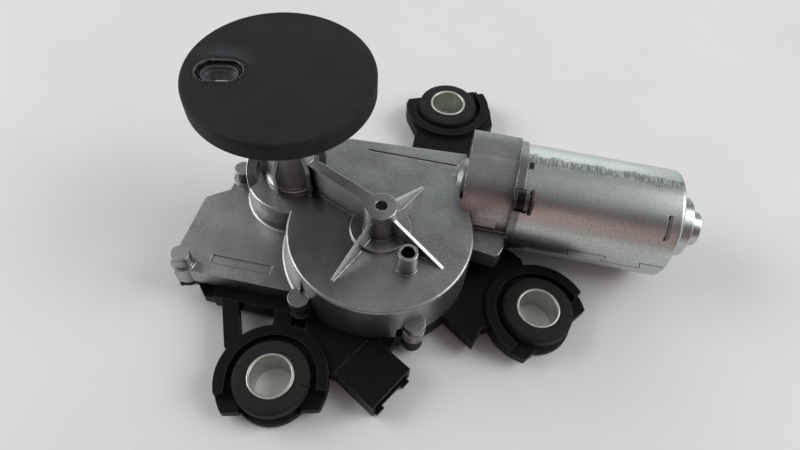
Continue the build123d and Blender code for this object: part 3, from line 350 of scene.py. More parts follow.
class Nodes:
    """A node tree, with a short method for each kind of step that it takes."""

    def __init__(self, owner):
        owner.use_nodes = True
        self.tree = owner.node_tree

    def node(self, kind, inputs=(), **settings):
        """A node with its settings, whose inputs are values or other nodes' outputs."""
        made = self.tree.nodes.new("ShaderNode" + kind)
        for key, value in settings.items():
            setattr(made, key, value)
        for key, value in dict(inputs).items():
            self.feed(made.inputs[key], value)
        return made

    def feed(self, socket, value):
        """Links an output to a socket, or sets the socket's own value."""
        if isinstance(value, bpy.types.NodeSocket):
            self.tree.links.new(value, socket)
        else:
            socket.default_value = value

    def maths(self, operation, first, second=0.0, clamp=False):
        """One step of arithmetic."""
        inputs = {0: first, 1: second}
        made = self.node("Math", inputs, operation=operation, use_clamp=clamp)
        return made.outputs[0]

    def times(self, first, second):
        """The product of two values."""
        return self.maths("MULTIPLY", first, second)

    def vector(self, operation, first, second=(0, 0, 0)):
        """One step of vector arithmetic. A dot product or length comes out as a number."""
        made = self.node("VectorMath", {0: first, 1: second}, operation=operation)
        number = operation in ("DOT_PRODUCT", "LENGTH", "DISTANCE")
        return made.outputs["Value" if number else "Vector"]

    def span(self, value, low, high, out_low=0.0, out_high=1.0, smooth=False):
        """Carries low..high to out_low..out_high, held at both ends."""
        inputs = {"Value": value, "From Min": low, "From Max": high}
        inputs.update({"To Min": out_low, "To Max": out_high})
        kind = "SMOOTHSTEP" if smooth else "LINEAR"
        return self.node("MapRange", inputs, interpolation_type=kind).outputs["Result"]

    def mix(self, low, high, share, strength=None):
        """One colour or another by share, or by share times strength."""
        if strength is not None:
            share = self.maths("MULTIPLY", share, strength)
        made = self.node("Mix", {"Factor": share}, data_type="RGBA")
        for socket, value in ((made.inputs[6], low), (made.inputs[7], high)):
            self.feed(socket, value if isinstance(value, bpy.types.NodeSocket) else (*value, 1.0))
        return made.outputs[2]


class Finish(Nodes):
    """A material whose patterns follow the piece's own coordinates, with sizes in mm."""

    def __init__(self, name, roughness=0.5, metallic=0.0, **constants):
        self.material = bpy.data.materials.new(name)
        super().__init__(self.material)
        self.shader = self.tree.nodes["Principled BSDF"]
        constants.update({"Roughness": roughness, "Metallic": metallic})
        for key, value in constants.items():
            self.shader.inputs[key.replace("_", " ")].default_value = value
        self.place = self.node("TexCoord").outputs["Object"]

    def noise(self, size, detail=3.0, rough=0.55, place=None, twist=0.0):
        """Noise from 0 to 1 whose features are about size across."""
        inputs = {"Vector": place or self.place, "Scale": 1 / (size * MM)}
        inputs.update({"Detail": detail, "Roughness": rough, "Distortion": twist})
        return self.node("TexNoise", inputs).outputs["Fac"]

    def specks(self, size, radius, place=None):
        """Round specks: 1 at a cell's middle, 0 from radius (a share of size) outwards."""
        inputs = {"Vector": place or self.place, "Scale": 1 / (size * MM), "Randomness": 1.0}
        far = self.node("TexVoronoi", inputs).outputs["Distance"]
        return self.span(far, radius, radius * 0.5)

    def stretched(self, scale, place=None):
        """The coordinates, stretched by a factor along each axis."""
        return self.vector("MULTIPLY", place or self.place, scale)

    def past_barrel(self, axis, radius):
        """1 where a point lies further than the radius from a line along x, 0 inside."""
        off = self.stretched((0.0, 1.0, 1.0), self.vector("SUBTRACT", self.place, tuple(axis)))
        far = self.vector("LENGTH", off)
        return self.span(far, (radius - 0.3) * MM, (radius + 0.2) * MM)

    def turned_place(self, degrees):
        """The coordinates, turned about the vertical."""
        inputs = {"Vector": self.place, "Angle": math.radians(degrees)}
        made = self.node("VectorRotate", inputs, rotation_type="Z_AXIS")
        return made.outputs["Vector"]

    def edges(self, radius, samples=4):
        """Where the surface bends within radius: 0 on a flat, 1 on a sharp edge."""
        soft = self.node("Bevel", {"Radius": radius * MM}, samples=samples).outputs["Normal"]
        true = self.node("NewGeometry").outputs["Normal"]
        return self.span(self.vector("DOT_PRODUCT", soft, true), 0.995, 0.80)

    def hollows(self, reach, samples=4):
        """Where walls stand close together: 1 in a corner, 0 in the open. The finishes paint shade
        with it.
        """
        made = self.node("AmbientOcclusion", {"Distance": reach * MM}, samples=samples)
        return self.maths("SUBTRACT", 1.0, made.outputs["AO"], clamp=True)

    def facing_up(self):
        """How much the surface faces up, from 0 to 1."""
        normal = self.node("NewGeometry").outputs["Normal"]
        return self.span(self.vector("DOT_PRODUCT", normal, (0, 0, 1)), 0.2, 0.95)

    def relief(self, heights, soft_edge=None):
        """Bumps from (height, depth, strength) rows, over an edge softened by a radius."""
        normal = None
        if soft_edge:
            bevel = self.node("Bevel", {"Radius": soft_edge * MM}, samples=4)
            normal = bevel.outputs["Normal"]
        for height, depth, strength in heights:
            inputs = {"Height": height, "Distance": depth * MM, "Strength": strength}
            bump = self.node("Bump", inputs)
            if normal is not None:
                self.feed(bump.inputs["Normal"], normal)
            normal = bump.outputs["Normal"]
        self.feed(self.shader.inputs["Normal"], normal)

    def paint(self, colour_output, roughness=None):
        """Feeds the shader its colour and roughness."""
        self.feed(self.shader.inputs["Base Color"], colour_output)
        if roughness is not None:
            self.feed(self.shader.inputs["Roughness"], roughness)
        return self.material


def cast_aluminium(metal, axis):
    """Satin die casting: dappled grain, pores and rubbed scratches, painted shade in the hollows
    and over the flange, and painted highlights on the edges.
    """
    f = Finish("cast_aluminium", metallic=1.0)
    cloud = f.noise(14, detail=4, rough=0.55)
    dapple = f.noise(0.9, detail=5, rough=0.7)
    flow = f.noise(2.2, detail=4, rough=0.65, place=f.stretched((1.0, 0.5, 1.0)), twist=0.4)
    grain = f.noise(0.28, detail=2, rough=0.6)
    pores = f.specks(1.7, 0.09)
    slanted = f.stretched((0.10, 1.0, 1.0), f.turned_place(28))
    scratch = f.noise(0.55, detail=2, place=slanted, twist=0.25)
    edge = f.edges(0.36)
    corner = f.hollows(7)
    tone = f.mix(metal.cast_stain, metal.cast_colour, f.span(cloud, 0.28, 0.6))
    tone = f.mix(tone, metal.cast_dapple_and_shade, f.span(dapple, 0.50, 0.70), 0.34)
    tone = f.mix(tone, metal.cast_worn_and_highlight, f.span(dapple, 0.48, 0.32), 0.18)
    tone = f.mix(tone, metal.cast_worn_and_highlight, f.span(scratch, 0.70, 0.74), 0.35)
    tone = f.mix(tone, metal.cast_worn_and_highlight, f.span(flow, 0.58, 0.78), 0.16)
    # Painted shade: the darker tone laid into corners where walls stand close
    tone = f.mix(tone, metal.cast_dapple_and_shade, f.span(corner, 0.15, 0.75), 0.9)
    # Painted highlight: the pale tone laid along edges and the feet of walls
    tone = f.mix(tone, metal.cast_worn_and_highlight, edge)
    # Painted shade over the flange at the can's end, near black on its ear beyond the barrel
    along = f.node("SeparateXYZ", {"Vector": f.place}).outputs["X"]
    flange = f.span(along, -17.3 * MM, -16.7 * MM)
    tone = f.mix(tone, metal.cast_dapple_and_shade, flange, 0.4)
    tone = f.mix(tone, FLANGE_EAR_SHADE, flange, f.past_barrel(axis, 21.8))
    tone = f.mix(tone, PORE_DARK, pores, 0.6)
    both = f.maths("ADD", f.times(dapple, 0.6), f.times(grain, 0.4))
    rough = f.span(both, 0.3, 0.7, 0.27, 0.45)
    rough = f.maths("SUBTRACT", rough, f.times(edge, 0.12))
    bumps = [(dapple, 0.07, 0.5), (grain, 0.04, 0.6), (pores, -0.05, 0.8)]
    f.relief(bumps, soft_edge=0.3)
    return f.paint(tone, rough)


def zinc_plate(metal, axis):
    """Zinc plate on rolled sheet: lines round the barrel, spangle, a scuffed band on top, painted
    shade in the hollows and on the ear, and painted highlights on the edges.
    """
    f = Finish("zinc_plate", metallic=1.0)
    split = f.node("SeparateXYZ", {"Vector": f.place})
    side = f.maths("SUBTRACT", split.outputs["Y"], axis.y)
    rise = f.maths("SUBTRACT", split.outputs["Z"], axis.z)
    angle = f.maths("ARCTAN2", rise, side)
    unrolled = {"X": split.outputs["X"], "Y": f.times(angle, CAN_AROUND)}
    wrapped = f.node("CombineXYZ", unrolled).outputs["Vector"]
    lines = f.noise(0.25, detail=2, place=f.stretched((1.0, 0.05, 1.0), wrapped))
    spangle = f.noise(0.8, detail=4, rough=0.7, place=wrapped)
    cloud = f.noise(8, detail=4, place=f.stretched((0.5, 1.0, 1.0), wrapped))
    scuff = f.noise(0.9, detail=5, rough=0.75, place=f.stretched((1.6, 0.22, 1.0), wrapped))
    wander = f.times(f.maths("SUBTRACT", f.noise(7, place=wrapped), 0.5), 0.35)
    off_band = f.maths("SUBTRACT", f.maths("ADD", angle, wander), math.radians(86))
    band = f.span(f.maths("ABSOLUTE", off_band), 0.15, 0.07, smooth=True)
    scuffed = f.times(band, f.span(scuff, 0.45, 0.50))
    edge = f.edges(0.5)
    tone = f.mix(metal.zinc_colour, metal.zinc_dull_and_shade, f.span(spangle, 0.46, 0.68), 0.65)
    # Painted shade in the can's hollows
    tone = f.mix(tone, metal.zinc_dull_and_shade, f.hollows(4), 0.9)
    tone = f.mix(tone, ZINC_SHINE, f.span(spangle, 0.50, 0.34), 0.4)
    tone = f.mix(tone, ZINC_CLOUD, f.span(cloud, 0.45, 0.7), 0.4)
    tone = f.mix(tone, shade(metal.zinc_dull_and_shade, 0.55), scuffed, 0.85)
    # Painted highlight along the can's edges
    tone = f.mix(tone, ZINC_EDGE_HIGHLIGHT, edge, 0.6)
    # Painted shade on the can's ear beyond the barrel
    tone = f.mix(tone, CAN_EAR_SHADE, f.past_barrel(axis, 21.0), 0.85)
    both = f.maths("ADD", f.times(lines, 0.5), f.times(spangle, 0.5))
    rough = f.span(both, 0.35, 0.65, 0.27, 0.42)
    rough = f.maths("ADD", rough, f.times(scuffed, 0.22))
    bumps = [(lines, 0.012, 0.35), (spangle, 0.02, 0.35), (scuffed, -0.02, 0.6)]
    f.relief(bumps, soft_edge=0.3)
    return f.paint(tone, rough)


def black_moulding(name, base, grain_size, roughness, dust=0.25):
    """Spark-eroded grain of a black moulding, with painted highlights on its edges and a little
    dust on top.
    """
    f = Finish(name, Specular_IOR_Level=0.16)
    grain = f.noise(grain_size, detail=2, rough=0.6)
    cloud = f.noise(11, detail=4)
    rubbed = f.noise(1.6, detail=5, rough=0.7)
    edge = f.edges(0.32)
    lint = f.times(f.specks(2.6, 0.07), f.facing_up())
    pale = shade(base, 4, 0.008)
    film = f.times(f.span(rubbed, 0.5, 0.85), f.facing_up())
    tone = f.mix(base, pale, film, dust)
    # Painted highlight along the moulding's edges
    tone = f.mix(tone, shade(base, 9, 0.10), edge, 0.6)
    tone = f.mix(tone, COVER_DUST, lint, 0.3)
    rough = f.span(cloud, 0.3, 0.7, roughness - 0.06, roughness + 0.08)
    f.relief([(grain, 0.03, 0.5)], soft_edge=0.3)
    return f.paint(tone, rough)


def disc_charcoal(moulding, slot_place):
    """Charcoal moulding with a pale bloom behind the slot, a scraped patch round it and painted
    highlights on its edges.
    """
    f = Finish("disc_charcoal", Specular_IOR_Level=0.22)
    grain = f.noise(0.22, detail=2, rough=0.6)
    cloud = f.noise(14, detail=4)
    streak = f.noise(2.5, detail=5, rough=0.7, place=f.stretched((0.35, 1.0, 1.0)), twist=0.8)
    inputs = {"Vector": f.place, "Center": tuple(slot_place)}
    inputs["Angle"] = math.radians(-DISC_SLOT_TURN)
    local = f.node("VectorRotate", inputs, rotation_type="Z_AXIS").outputs["Vector"]
    off_slot = f.vector("SUBTRACT", local, tuple(slot_place))
    parts = f.node("SeparateXYZ", {"Vector": off_slot})
    past = f.maths("SUBTRACT", f.maths("ABSOLUTE", parts.outputs["X"]), 2.4 * MM)
    past = f.maths("MAXIMUM", past, 0.0)
    flat = f.node("CombineXYZ", {"X": past, "Y": parts.outputs["Y"]}).outputs["Vector"]
    torn = f.noise(1.1, detail=5, rough=0.75)
    burr = f.times(f.maths("SUBTRACT", torn, 0.5), 2.6 * MM)
    scraped = f.span(f.maths("ADD", f.vector("LENGTH", flat), burr), 6.9 * MM, 6.5 * MM)
    behind = (slot_place[0], slot_place[1] + 6.5 * MM, slot_place[2])
    around = f.vector("SUBTRACT", f.place, behind)
    reach = f.vector("LENGTH", f.stretched((0.75, 1.35, 0.0), around))
    ragged = f.maths("ADD", reach, f.times(f.maths("SUBTRACT", streak, 0.5), 5 * MM))
    bloom = f.times(f.span(ragged, 9.5 * MM, 1.5 * MM, smooth=True), f.facing_up())
    edge = f.edges(0.4)
    lint = f.times(f.specks(2.2, 0.075), f.facing_up())
    tone = f.mix(moulding.disc_colour, shade(moulding.disc_colour, 1.5), f.span(cloud, 0.35, 0.7))
    tone = f.mix(tone, moulding.haze_colour, bloom, 0.55)
    tone = f.mix(tone, moulding.haze_colour, f.span(streak, 0.72, 0.85), 0.35)
    # Painted highlight along the disc's edges
    tone = f.mix(tone, DISC_EDGE_HIGHLIGHT, edge, 0.4)
    tone = f.mix(tone, SCRAPED_DISC, scraped, 0.85)
    chips = f.span(f.noise(0.5, detail=4, rough=0.8), 0.58, 0.64)
    flakes = f.times(scraped, chips)
    tone = f.mix(tone, DISC_FLAKE, flakes, 0.8)
    few = f.times(lint, f.span(f.noise(17), 0.50, 0.60))
    tone = f.mix(tone, DUST, few, 0.5)
    rough = f.span(streak, 0.3, 0.8, 0.60, 0.74)
    f.relief([(grain, 0.02, 0.35)], soft_edge=0.25)
    return f.paint(tone, rough)


def rubber(name, base):
    """Matt rubber with a fine bloom, dust that settles on its top, and painted highlights on its
    edges.
    """
    f = Finish(name, Specular_IOR_Level=0.2, Sheen_Weight=0.03, Sheen_Roughness=0.5)
    grain = f.noise(0.18, detail=3, rough=0.65)
    bloom = f.noise(2.2, detail=5, rough=0.7)
    lint = f.times(f.specks(1.9, 0.08), f.facing_up())
    tone = f.mix(base, shade(base, 1.6, 0.002), f.span(bloom, 0.4, 0.75))
    tone = f.mix(tone, RUBBER_DUST, lint, 0.35)
    # Painted highlight along the grommet's edges
    tone = f.mix(tone, RUBBER_EDGE_HIGHLIGHT, f.edges(0.4), 0.3)
    f.relief([(grain, 0.025, 0.45)])
    return f.paint(tone, f.span(bloom, 0.3, 0.8, 0.66, 0.82))


def plain_metal(name, base, roughness, line_size=0.3, stain=0.35):
    """Machined or pressed metal: fine lines, a little tarnish, painted highlights on the edges."""
    f = Finish(name, metallic=1.0)
    lines = f.noise(line_size, detail=2, place=f.stretched((1.0, 1.0, 0.12)))
    cloud = f.noise(2.5, detail=5, rough=0.65)
    dull = shade(base, 0.55)
    bright = shade(base, 1.25)
    tone = f.mix(base, dull, f.span(cloud, 0.48, 0.72), stain)
    # Painted highlight: a brighter copy of the metal along its edges
    tone = f.mix(tone, bright, f.edges(0.25), 0.6)
    f.relief([(lines, 0.012, 0.4)], soft_edge=0.15)
    return f.paint(tone, f.span(cloud, 0.3, 0.75, roughness - 0.05, roughness + 0.12))


def coated_screw(metal):
    """Brown heat-tinted coating that is rubbed through to steel on its edges."""
    f = Finish("brown_screw", metallic=0.75)
    cloud = f.noise(0.7, detail=5, rough=0.7)
    tone = f.mix(metal.screw_colour, shade(metal.screw_colour, 0.4), f.span(cloud, 0.4, 0.65))
    tone = f.mix(tone, BARE_EDGE, f.edges(0.3), 0.55)
    f.relief([(cloud, 0.02, 0.5)], soft_edge=0.15)
    return f.paint(tone, f.span(cloud, 0.3, 0.7, 0.34, 0.52))


def plain_moulding(name, base, roughness):
    """An even plastic, rubber or carbon with slight mottling and soft edges."""
    f = Finish(name, Specular_IOR_Level=0.4)
    cloud = f.noise(3, detail=4)
    grain = f.noise(0.25, detail=2)
    tone = f.mix(base, shade(base, 0.72), f.span(cloud, 0.4, 0.7))
    f.relief([(grain, 0.02, 0.35)], soft_edge=0.2)
    return f.paint(tone, f.span(cloud, 0.3, 0.7, roughness - 0.05, roughness + 0.08))


# ---- pieces


def bush_names():
    """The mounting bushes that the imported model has."""
    return sorted(name[: -len("_sleeve")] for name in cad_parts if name.endswith("_sleeve"))


def grommet_grid(name, piece):
    """The rubber spool of a bush: its profile turned once, sunk along two parting lines.

    The line across the top flange is a furrow of depth d exp(-(s / w)^2), where s is the
    distance along the arc from the line.
    """
    low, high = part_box(name + "_grommet")
    centre = (low + high) / 2
    inner = (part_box(name + "_sleeve")[1].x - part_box(name + "_sleeve")[0].x) / 2 + 0.02 * MM
    foot = (high.x - low.x) / 2
    top_radius = foot - 0.8 * MM
    edge = piece.grommet_round
    corners = [
        (inner, low.z, 0.15 * MM),
        (inner, high.z, 0.35 * MM),
        (inner + 2.4 * MM, high.z, 1.2 * MM),
        (top_radius, high.z - 0.35 * MM, edge),
        (top_radius, GROOVE_HIGH, 0.3 * MM),
        (GROOVE_RADIUS, GROOVE_HIGH, 0.2 * MM),
        (GROOVE_RADIUS, GROOVE_LOW, 0.2 * MM),
        (foot, GROOVE_LOW, 0.5 * MM),
        (foot, low.z, 0.6 * MM),
    ]
    profile = rounded(corners, 6)
    line_angles = np.radians([176.5, 356.5])
    near = (line_angles[:, None] + np.linspace(-0.06, 0.06, 13)[None, :]).ravel()
    angles = np.unique(np.concatenate([full_turn(piece.around), near]) % TURN)
    grid = turned(profile, centre, angles)
    off = angles[:, None] - line_angles[None, :]
    off = np.abs((off + math.pi) % TURN - math.pi).min(axis=1)
    arc = off[:, None] * profile[None, :, 0]
    on_top = np.clip((profile[:, 1] - high.z + 1.2 * MM) / (0.8 * MM), 0, 1)[None, :]
    outer = np.clip((profile[:, 0] - inner - 1.6 * MM) / (1.0 * MM), 0, 1)[None, :]
    grid[:, :, 2] -= piece.parting_depth * np.exp(-((arc / (0.22 * MM)) ** 2)) * on_top * outer
    return grid


def sleeve_grid(name, piece):
    """A steel tube with chamfered ends, turned once."""
    low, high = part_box(name + "_sleeve")
    centre = (low + high) / 2
    outer = (high.x - low.x) / 2
    inner = outer - SLEEVE_WALL
    cut = piece.sleeve_chamfer
    corners = [
        (inner, low.z + cut, 0.08 * MM),
        (inner, high.z - cut, 0.08 * MM),
        (inner + cut, high.z, 0.08 * MM),
        (outer - cut * 0.6, high.z, 0.08 * MM),
        (outer, high.z - cut * 0.6, 0.08 * MM),
        (outer, low.z + cut * 0.6, 0.08 * MM),
        (outer - cut * 0.6, low.z, 0.08 * MM),
        (inner + cut, low.z, 0.08 * MM),
    ]
    return turned(rounded(corners, 3), centre, full_turn(piece.around))


def fillet(centre, radius, width, height, first, last, draft=0.0, rise=0.0):
    """A hollow-faced bead along the foot of a round wall on the wing, between two angles.

    The wall slopes out by the draft as it falls from the rise. Below it the face is a quarter
    of an ellipse: r = R + d + w (1 - cos t), z = level + h (1 - sin t). Angles are in degrees.
    """
    level = WING_TOP
    t = np.linspace(0, math.pi / 2, 9)
    foot = radius + draft
    face = np.stack([foot + width * (1 - np.cos(t)), level + height * (1 - np.sin(t))], axis=1)
    buried = 0.3 * MM
    inner, outer = radius - buried, foot + width
    top = level + max(rise, height)
    wall = [(inner, level - buried), (inner, top)] + ([(radius, top)] if draft else [])
    profile = np.concatenate([wall, face, [(outer, level - buried)]])
    return turned(profile, centre, np.radians(np.linspace(first, last, 61)))


def stadium(rows, place, degrees, count):
    """A ring swept round a slot: rows of (r, z, s), where r is the distance from a segment.

    The segment runs from -s to s along the slot. At angle a the point is
    (s sign(cos a) + r cos a, r sin a, z), turned and moved to the slot's middle.
    """
    angles = (np.arange(count) + 0.5) * TURN / count
    rows = np.asarray(rows, float)
    r, z, s = rows[..., 0], rows[..., 1], rows[..., 2]
    a = angles[:, None]
    x = s * np.sign(np.cos(a)) + r * np.cos(a)
    grid = np.stack([x, r * np.sin(a) + 0 * s, z + 0 * a], axis=2)
    return carried(grid, Matrix.Rotation(math.radians(degrees), 3, "Z"), place)


def carried(grid, turn, place):
    """The same grid, turned by a matrix and moved."""
    return grid @ np.array(turn, float).T + np.array(place)


def stacked(rings, angles):
    """A grid from (radii, heights) pairs, one ring of points to each column."""
    cos, sin = np.cos(angles), np.sin(angles)
    return np.stack([np.stack([r * cos, r * sin, z + 0 * cos], axis=1) for r, z in rings], axis=1)


def head_rings(angles, radius, height, recess_radius, recess_depth):
    """The rings of a low domed head with a six-lobed recess, from its middle to its seat.

    The recess wall follows r = a (1 + 0.13 cos 6t). The dome falls from the head's height h
    as z = h - 0.45 h (r / R)^3 to its rim, which drops to the seat at zero.
    """
    star = recess_radius * (1 + 0.13 * np.cos(6 * angles))
    floor = height - recess_depth
    rings = [(0.05 * star, floor - 0.1 * recess_depth), (0.95 * star, floor)]
    rings += [(star, floor + 0.08 * recess_depth), (1.02 * star, height - 0.06 * recess_depth)]
    for part in np.linspace(0.0, 1.0, 8):
        ring = 1.07 * star * (1 - part) + 0.96 * radius * part
        rings.append((ring, height - 0.45 * height * (ring / radius) ** 3))
    return rings + [(radius, 0.42 * height), (radius, 0.08 * height), (0.97 * radius, 0.0)]


def shank_rings(angles, radius, depth, pitch, start, end, point):
    """The rings of a screw thread from one height down to another.

    The radius is R - d |2 frac(z / p - t / 2 pi) - 1|, drawn in over the last point metres.
    """
    steps = int((start - end) / pitch * 10)
    rings = []
    for z in np.linspace(start, end, steps):
        saw = np.abs(2 * ((z / pitch - angles / TURN) % 1.0) - 1)
        drawn = min(1.0, 0.45 + 0.55 * (z - end) / point)
        rings.append(((radius - depth * saw) * drawn, z))
    return rings


def border(centre, length, width, line, low, high):
    """A raised rectangular line with round corners: each corner is a quarter turn of the line."""
    corners = [(1, 1, 0), (-1, 1, 90), (-1, -1, 180), (1, -1, 270)]
    rows = []
    for across, along, start in corners:
        turn = np.radians(start + np.linspace(0, 90, 5))
        sides = [np.full(5, across), np.full(5, along)]
        rows.append(np.column_stack([np.cos(turn), np.sin(turn), *sides]))
    rows = np.concatenate(rows)
    half = line / 2
    ring = []
    shoulder = high - half * 0.5
    section = [(-1, low), (-1, shoulder), (-0.5, high), (0.5, high), (1, shoulder), (1, low)]
    for out, z in section:
        reach = 0.5 * MM + out * half
        x = centre[0] + rows[:, 2] * (length / 2 - 0.5 * MM) + reach * rows[:, 0]
        y = centre[1] + rows[:, 3] * (width / 2 - 0.5 * MM) + reach * rows[:, 1]
        ring.append(np.column_stack([x, y, np.full(len(rows), z)]))
    return np.stack(ring, axis=1)


def can_surface(grid, axis, radius):
    """Lays (x, angle, height) rows on the can: y = ay + (r + h) cos t, z = az + (r + h) sin t."""
    x, angle, height = grid[..., 0], grid[..., 1], grid[..., 2]
    far = radius + height
    return np.stack([x, axis.y + far * np.cos(angle), axis.z + far * np.sin(angle)], axis=-1)


def ribbon(path, width, height, radius):
    """A flat-topped band along a path of (x, angle) points on the can, sunk at both sides.

    Each point of the path is moved half a width to either side, square to the path in the
    unrolled sheet, where the distance round the can is the radius times the angle.
    """
    flat = np.array(path, float) * (1.0, radius)
    corner = np.gradient(flat, axis=0)
    corner /= np.linalg.norm(corner, axis=1, keepdims=True)
    side = np.stack([-corner[:, 1], corner[:, 0]], axis=1) * width / 2
    ring = []
    for share, rise in ((-1, -0.3), (-1, 0.6), (-0.5, 1.0), (0.5, 1.0), (1, 0.6), (1, -0.3)):
        moved = flat + side * share
        level = np.full(len(flat), rise * height)
        ring.append(np.column_stack([moved[:, 0], moved[:, 1] / radius, level]))
    return np.stack(ring, axis=1)


def patch(near, far, first, last, low, high, flat_radius=0.0):
    """A thin plate on the can as (x, angle, height) rows, between two angles in degrees.

    With a radius r the plate is flat: its height at an angle a off its middle is
    (r + h) / cos a - r, which is a straight line across the barrel.
    """
    angles = np.radians(np.linspace(last, first, 12))
    bow = 1 / np.cos(angles - angles.mean()) if flat_radius else 1.0
    ring = [(near, low), (near, high), (far, high), (far, low)]
    rows = [(x, (flat_radius + h) * bow - flat_radius + 0 * angles) for x, h in ring]
    return np.stack([np.column_stack([np.full(12, x), angles, h]) for x, h in rows], axis=1)


def bent(path, steps):
    """A polyline with extra points along each leg, close to its corners."""
    path = np.array(path, float)
    share = np.concatenate([[0.0, 0.04], np.linspace(0.1, 0.9, steps), [0.96]])[None, :, None]
    rows = path[:-1, None] * (1 - share) + path[1:, None] * share
    return np.concatenate([rows.reshape(-1, 2), path[-1:]])


# ---- operators


class Step(bpy.types.Operator):
    """One step of the making, with the scene's settings at hand."""

    bl_idname = "wiper.step"
    bl_label = "Step"

    def execute(self, context):
        scene = context.scene
        self.make(scene.wiper_stage, scene.wiper_metal, scene.wiper_moulding, scene.wiper_piece)
        return {"FINISHED"}


class WiperStage(Step):
    """Lays the pale floor, hangs the soft lights and sets the camera."""

    bl_idname = "wiper.stage"
    bl_label = "Stage"

    def make(self, stage, metal, moulding, piece):
        scene = bpy.context.scene
        scene.view_settings.view_transform = "Standard"
        self.room(stage)
        self.floor(stage)
        centre = Vector((-0.04, 0.03, 0.0))
        for name, place in (("left", (-1.08, 0.08, 0.66)), ("right", (0.90, 0.20, 0.80))):
            self.light(name, place, centre, stage.side_size, stage.side_power, (1.0, 0.99, 0.97))
        self.light("back", (0.0, 1.15, 0.38), centre, 0.9, stage.back_power, (0.96, 1.0, 1.0))
        self.light("front", (0.15, -0.75, 0.30), centre, 0.5, stage.front_power, (1.0, 0.72, 0.66))
        camera = bpy.data.cameras.new("camera")
        holder = placed("camera", camera)
        camera.sensor_width = 36.0
        camera.lens = stage.camera_lens
        camera.clip_start = 0.005
        forward = Vector(stage.camera_forward).normalized()
        right = forward.cross(Vector(stage.camera_up)).normalized()
        up = right.cross(forward)
        turn = Matrix((right, up, -forward)).transposed().to_4x4()
        holder.matrix_world = Matrix.Translation(stage.camera_place) @ turn
        scene.camera = holder

    def room(self, stage):
        """Light from all round, dimmer and warmer from low in front, where the viewer stands.

        The share of the dim colour rises with the dot product of the ray and the way forward.
        Beyond the floor the camera itself sees an even pale wall.
        """
        world = bpy.data.worlds.new("room")
        w = Nodes(world)
        base, end = w.tree.nodes["Background"], w.tree.nodes["World Output"]
        ray = w.node("TexCoord").outputs["Generated"]
        ahead = w.vector("DOT_PRODUCT", ray, Vector((0.1, -1.0, 0.12)).normalized())
        share = w.span(ahead, 0.25, 0.85, smooth=True)
        w.feed(base.inputs["Color"], w.mix(stage.sky_colour, stage.viewer_colour, share))
        base.inputs["Strength"].default_value = stage.sky_power
        wall = w.node("Background", {"Color": (*stage.floor_colour, 1.0)})
        seen = w.node("LightPath").outputs["Is Camera Ray"]
        either = w.node("MixShader", {0: seen, 1: base.outputs[0], 2: wall.outputs[0]})
        w.feed(end.inputs["Surface"], either.outputs[0])
        bpy.context.scene.world = world

    def light(self, name, place, target, size, power, tint):
        """A square soft light that faces a point."""
        lamp = bpy.data.lights.new(name, "AREA")
        lamp.size = size
        lamp.energy = power
        lamp.color = tint
        holder = placed(name, lamp)
        holder.location = place
        holder.rotation_mode = "QUATERNION"
        holder.rotation_quaternion = (target - Vector(place)).to_track_quat("-Z", "Y")

    def floor(self, stage):
        """A wide flat sheet just under the object, with a faint mottle."""
        ends = np.array([-20.0, 20.0])
        across, along = np.meshgrid(ends, ends)
        flat = np.stack([across, along, np.full((2, 2), -0.02 * MM)], axis=2)
        mesh = bpy.data.meshes.new("floor")
        mesh.from_pydata(flat.reshape(-1, 3).tolist(), [], grid_faces(2, 2, False, False).tolist())
        sheet = placed("floor", mesh)
        f = Finish("pale_floor", roughness=0.6)
        cloud = f.noise(60, detail=5)
        pale = stage.floor_colour
        tone = f.mix(shade(pale, 0.97), pale, f.span(cloud, 0.35, 0.65))
        wear(sheet, f.paint(tone, f.span(cloud, 0.3, 0.7, 0.5, 0.62)))


class WiperCase(Step):
    """Gives the gear case its satin die-cast skin."""

    bl_idname = "wiper.case"
    bl_label = "Gear case"

    def make(self, stage, metal, moulding, piece):
        skin = cast_aluminium(metal, middle("armature_shaft"))
        dress("gear_housing", skin)
        plate = border(
            (-108.8 * MM, -10.0 * MM),
            length=22.6 * MM,
            width=3.4 * MM,
            line=0.30 * MM,
            low=WING_TOP - 0.3 * MM,
            high=WING_TOP + 0.12 * MM,
        )
        self.cast("plate_border", [(plate, True, True)], skin)
        sloped = {"draft": 1.4 * MM, "rise": 9.0 * MM}
        feet = [
            fillet(DRUM_CENTRE, DRUM_RADIUS, 1.1 * MM, 1.4 * MM, 184.0, 229.0, **sloped),
            fillet(TOWER_CENTRE, LEDGE_RADIUS, 1.3 * MM, 1.8 * MM, 156.0, 276.0),
        ]
        self.cast("case_fillets", [(grid, False, True, True) for grid in feet], skin)
        boss = (
            DRUM_CENTRE[0] + HALF_BOSS_REACH * math.cos(HALF_BOSS_ANGLE),
            DRUM_CENTRE[1] + HALF_BOSS_REACH * math.sin(HALF_BOSS_ANGLE),
        )
        t = np.linspace(0, 1, 49)
        bulge = 3.78 * MM + 0.42 * MM * np.abs(np.sin(4 * math.pi * t))
        outside = np.stack([bulge, 16.6 * MM - 5.4 * MM * t], axis=1)
        inside = np.array([(3.0, 11.2), (3.0, 16.6)]) * MM
        ridges = turned(np.concatenate([inside, outside]), boss, full_turn(96))
        self.cast("boss_ridges", [(ridges, True, True)], skin)

    def cast(self, name, grids, skin):
        """A fine piece of the casting."""
        mesh_piece(name, grids, skin)


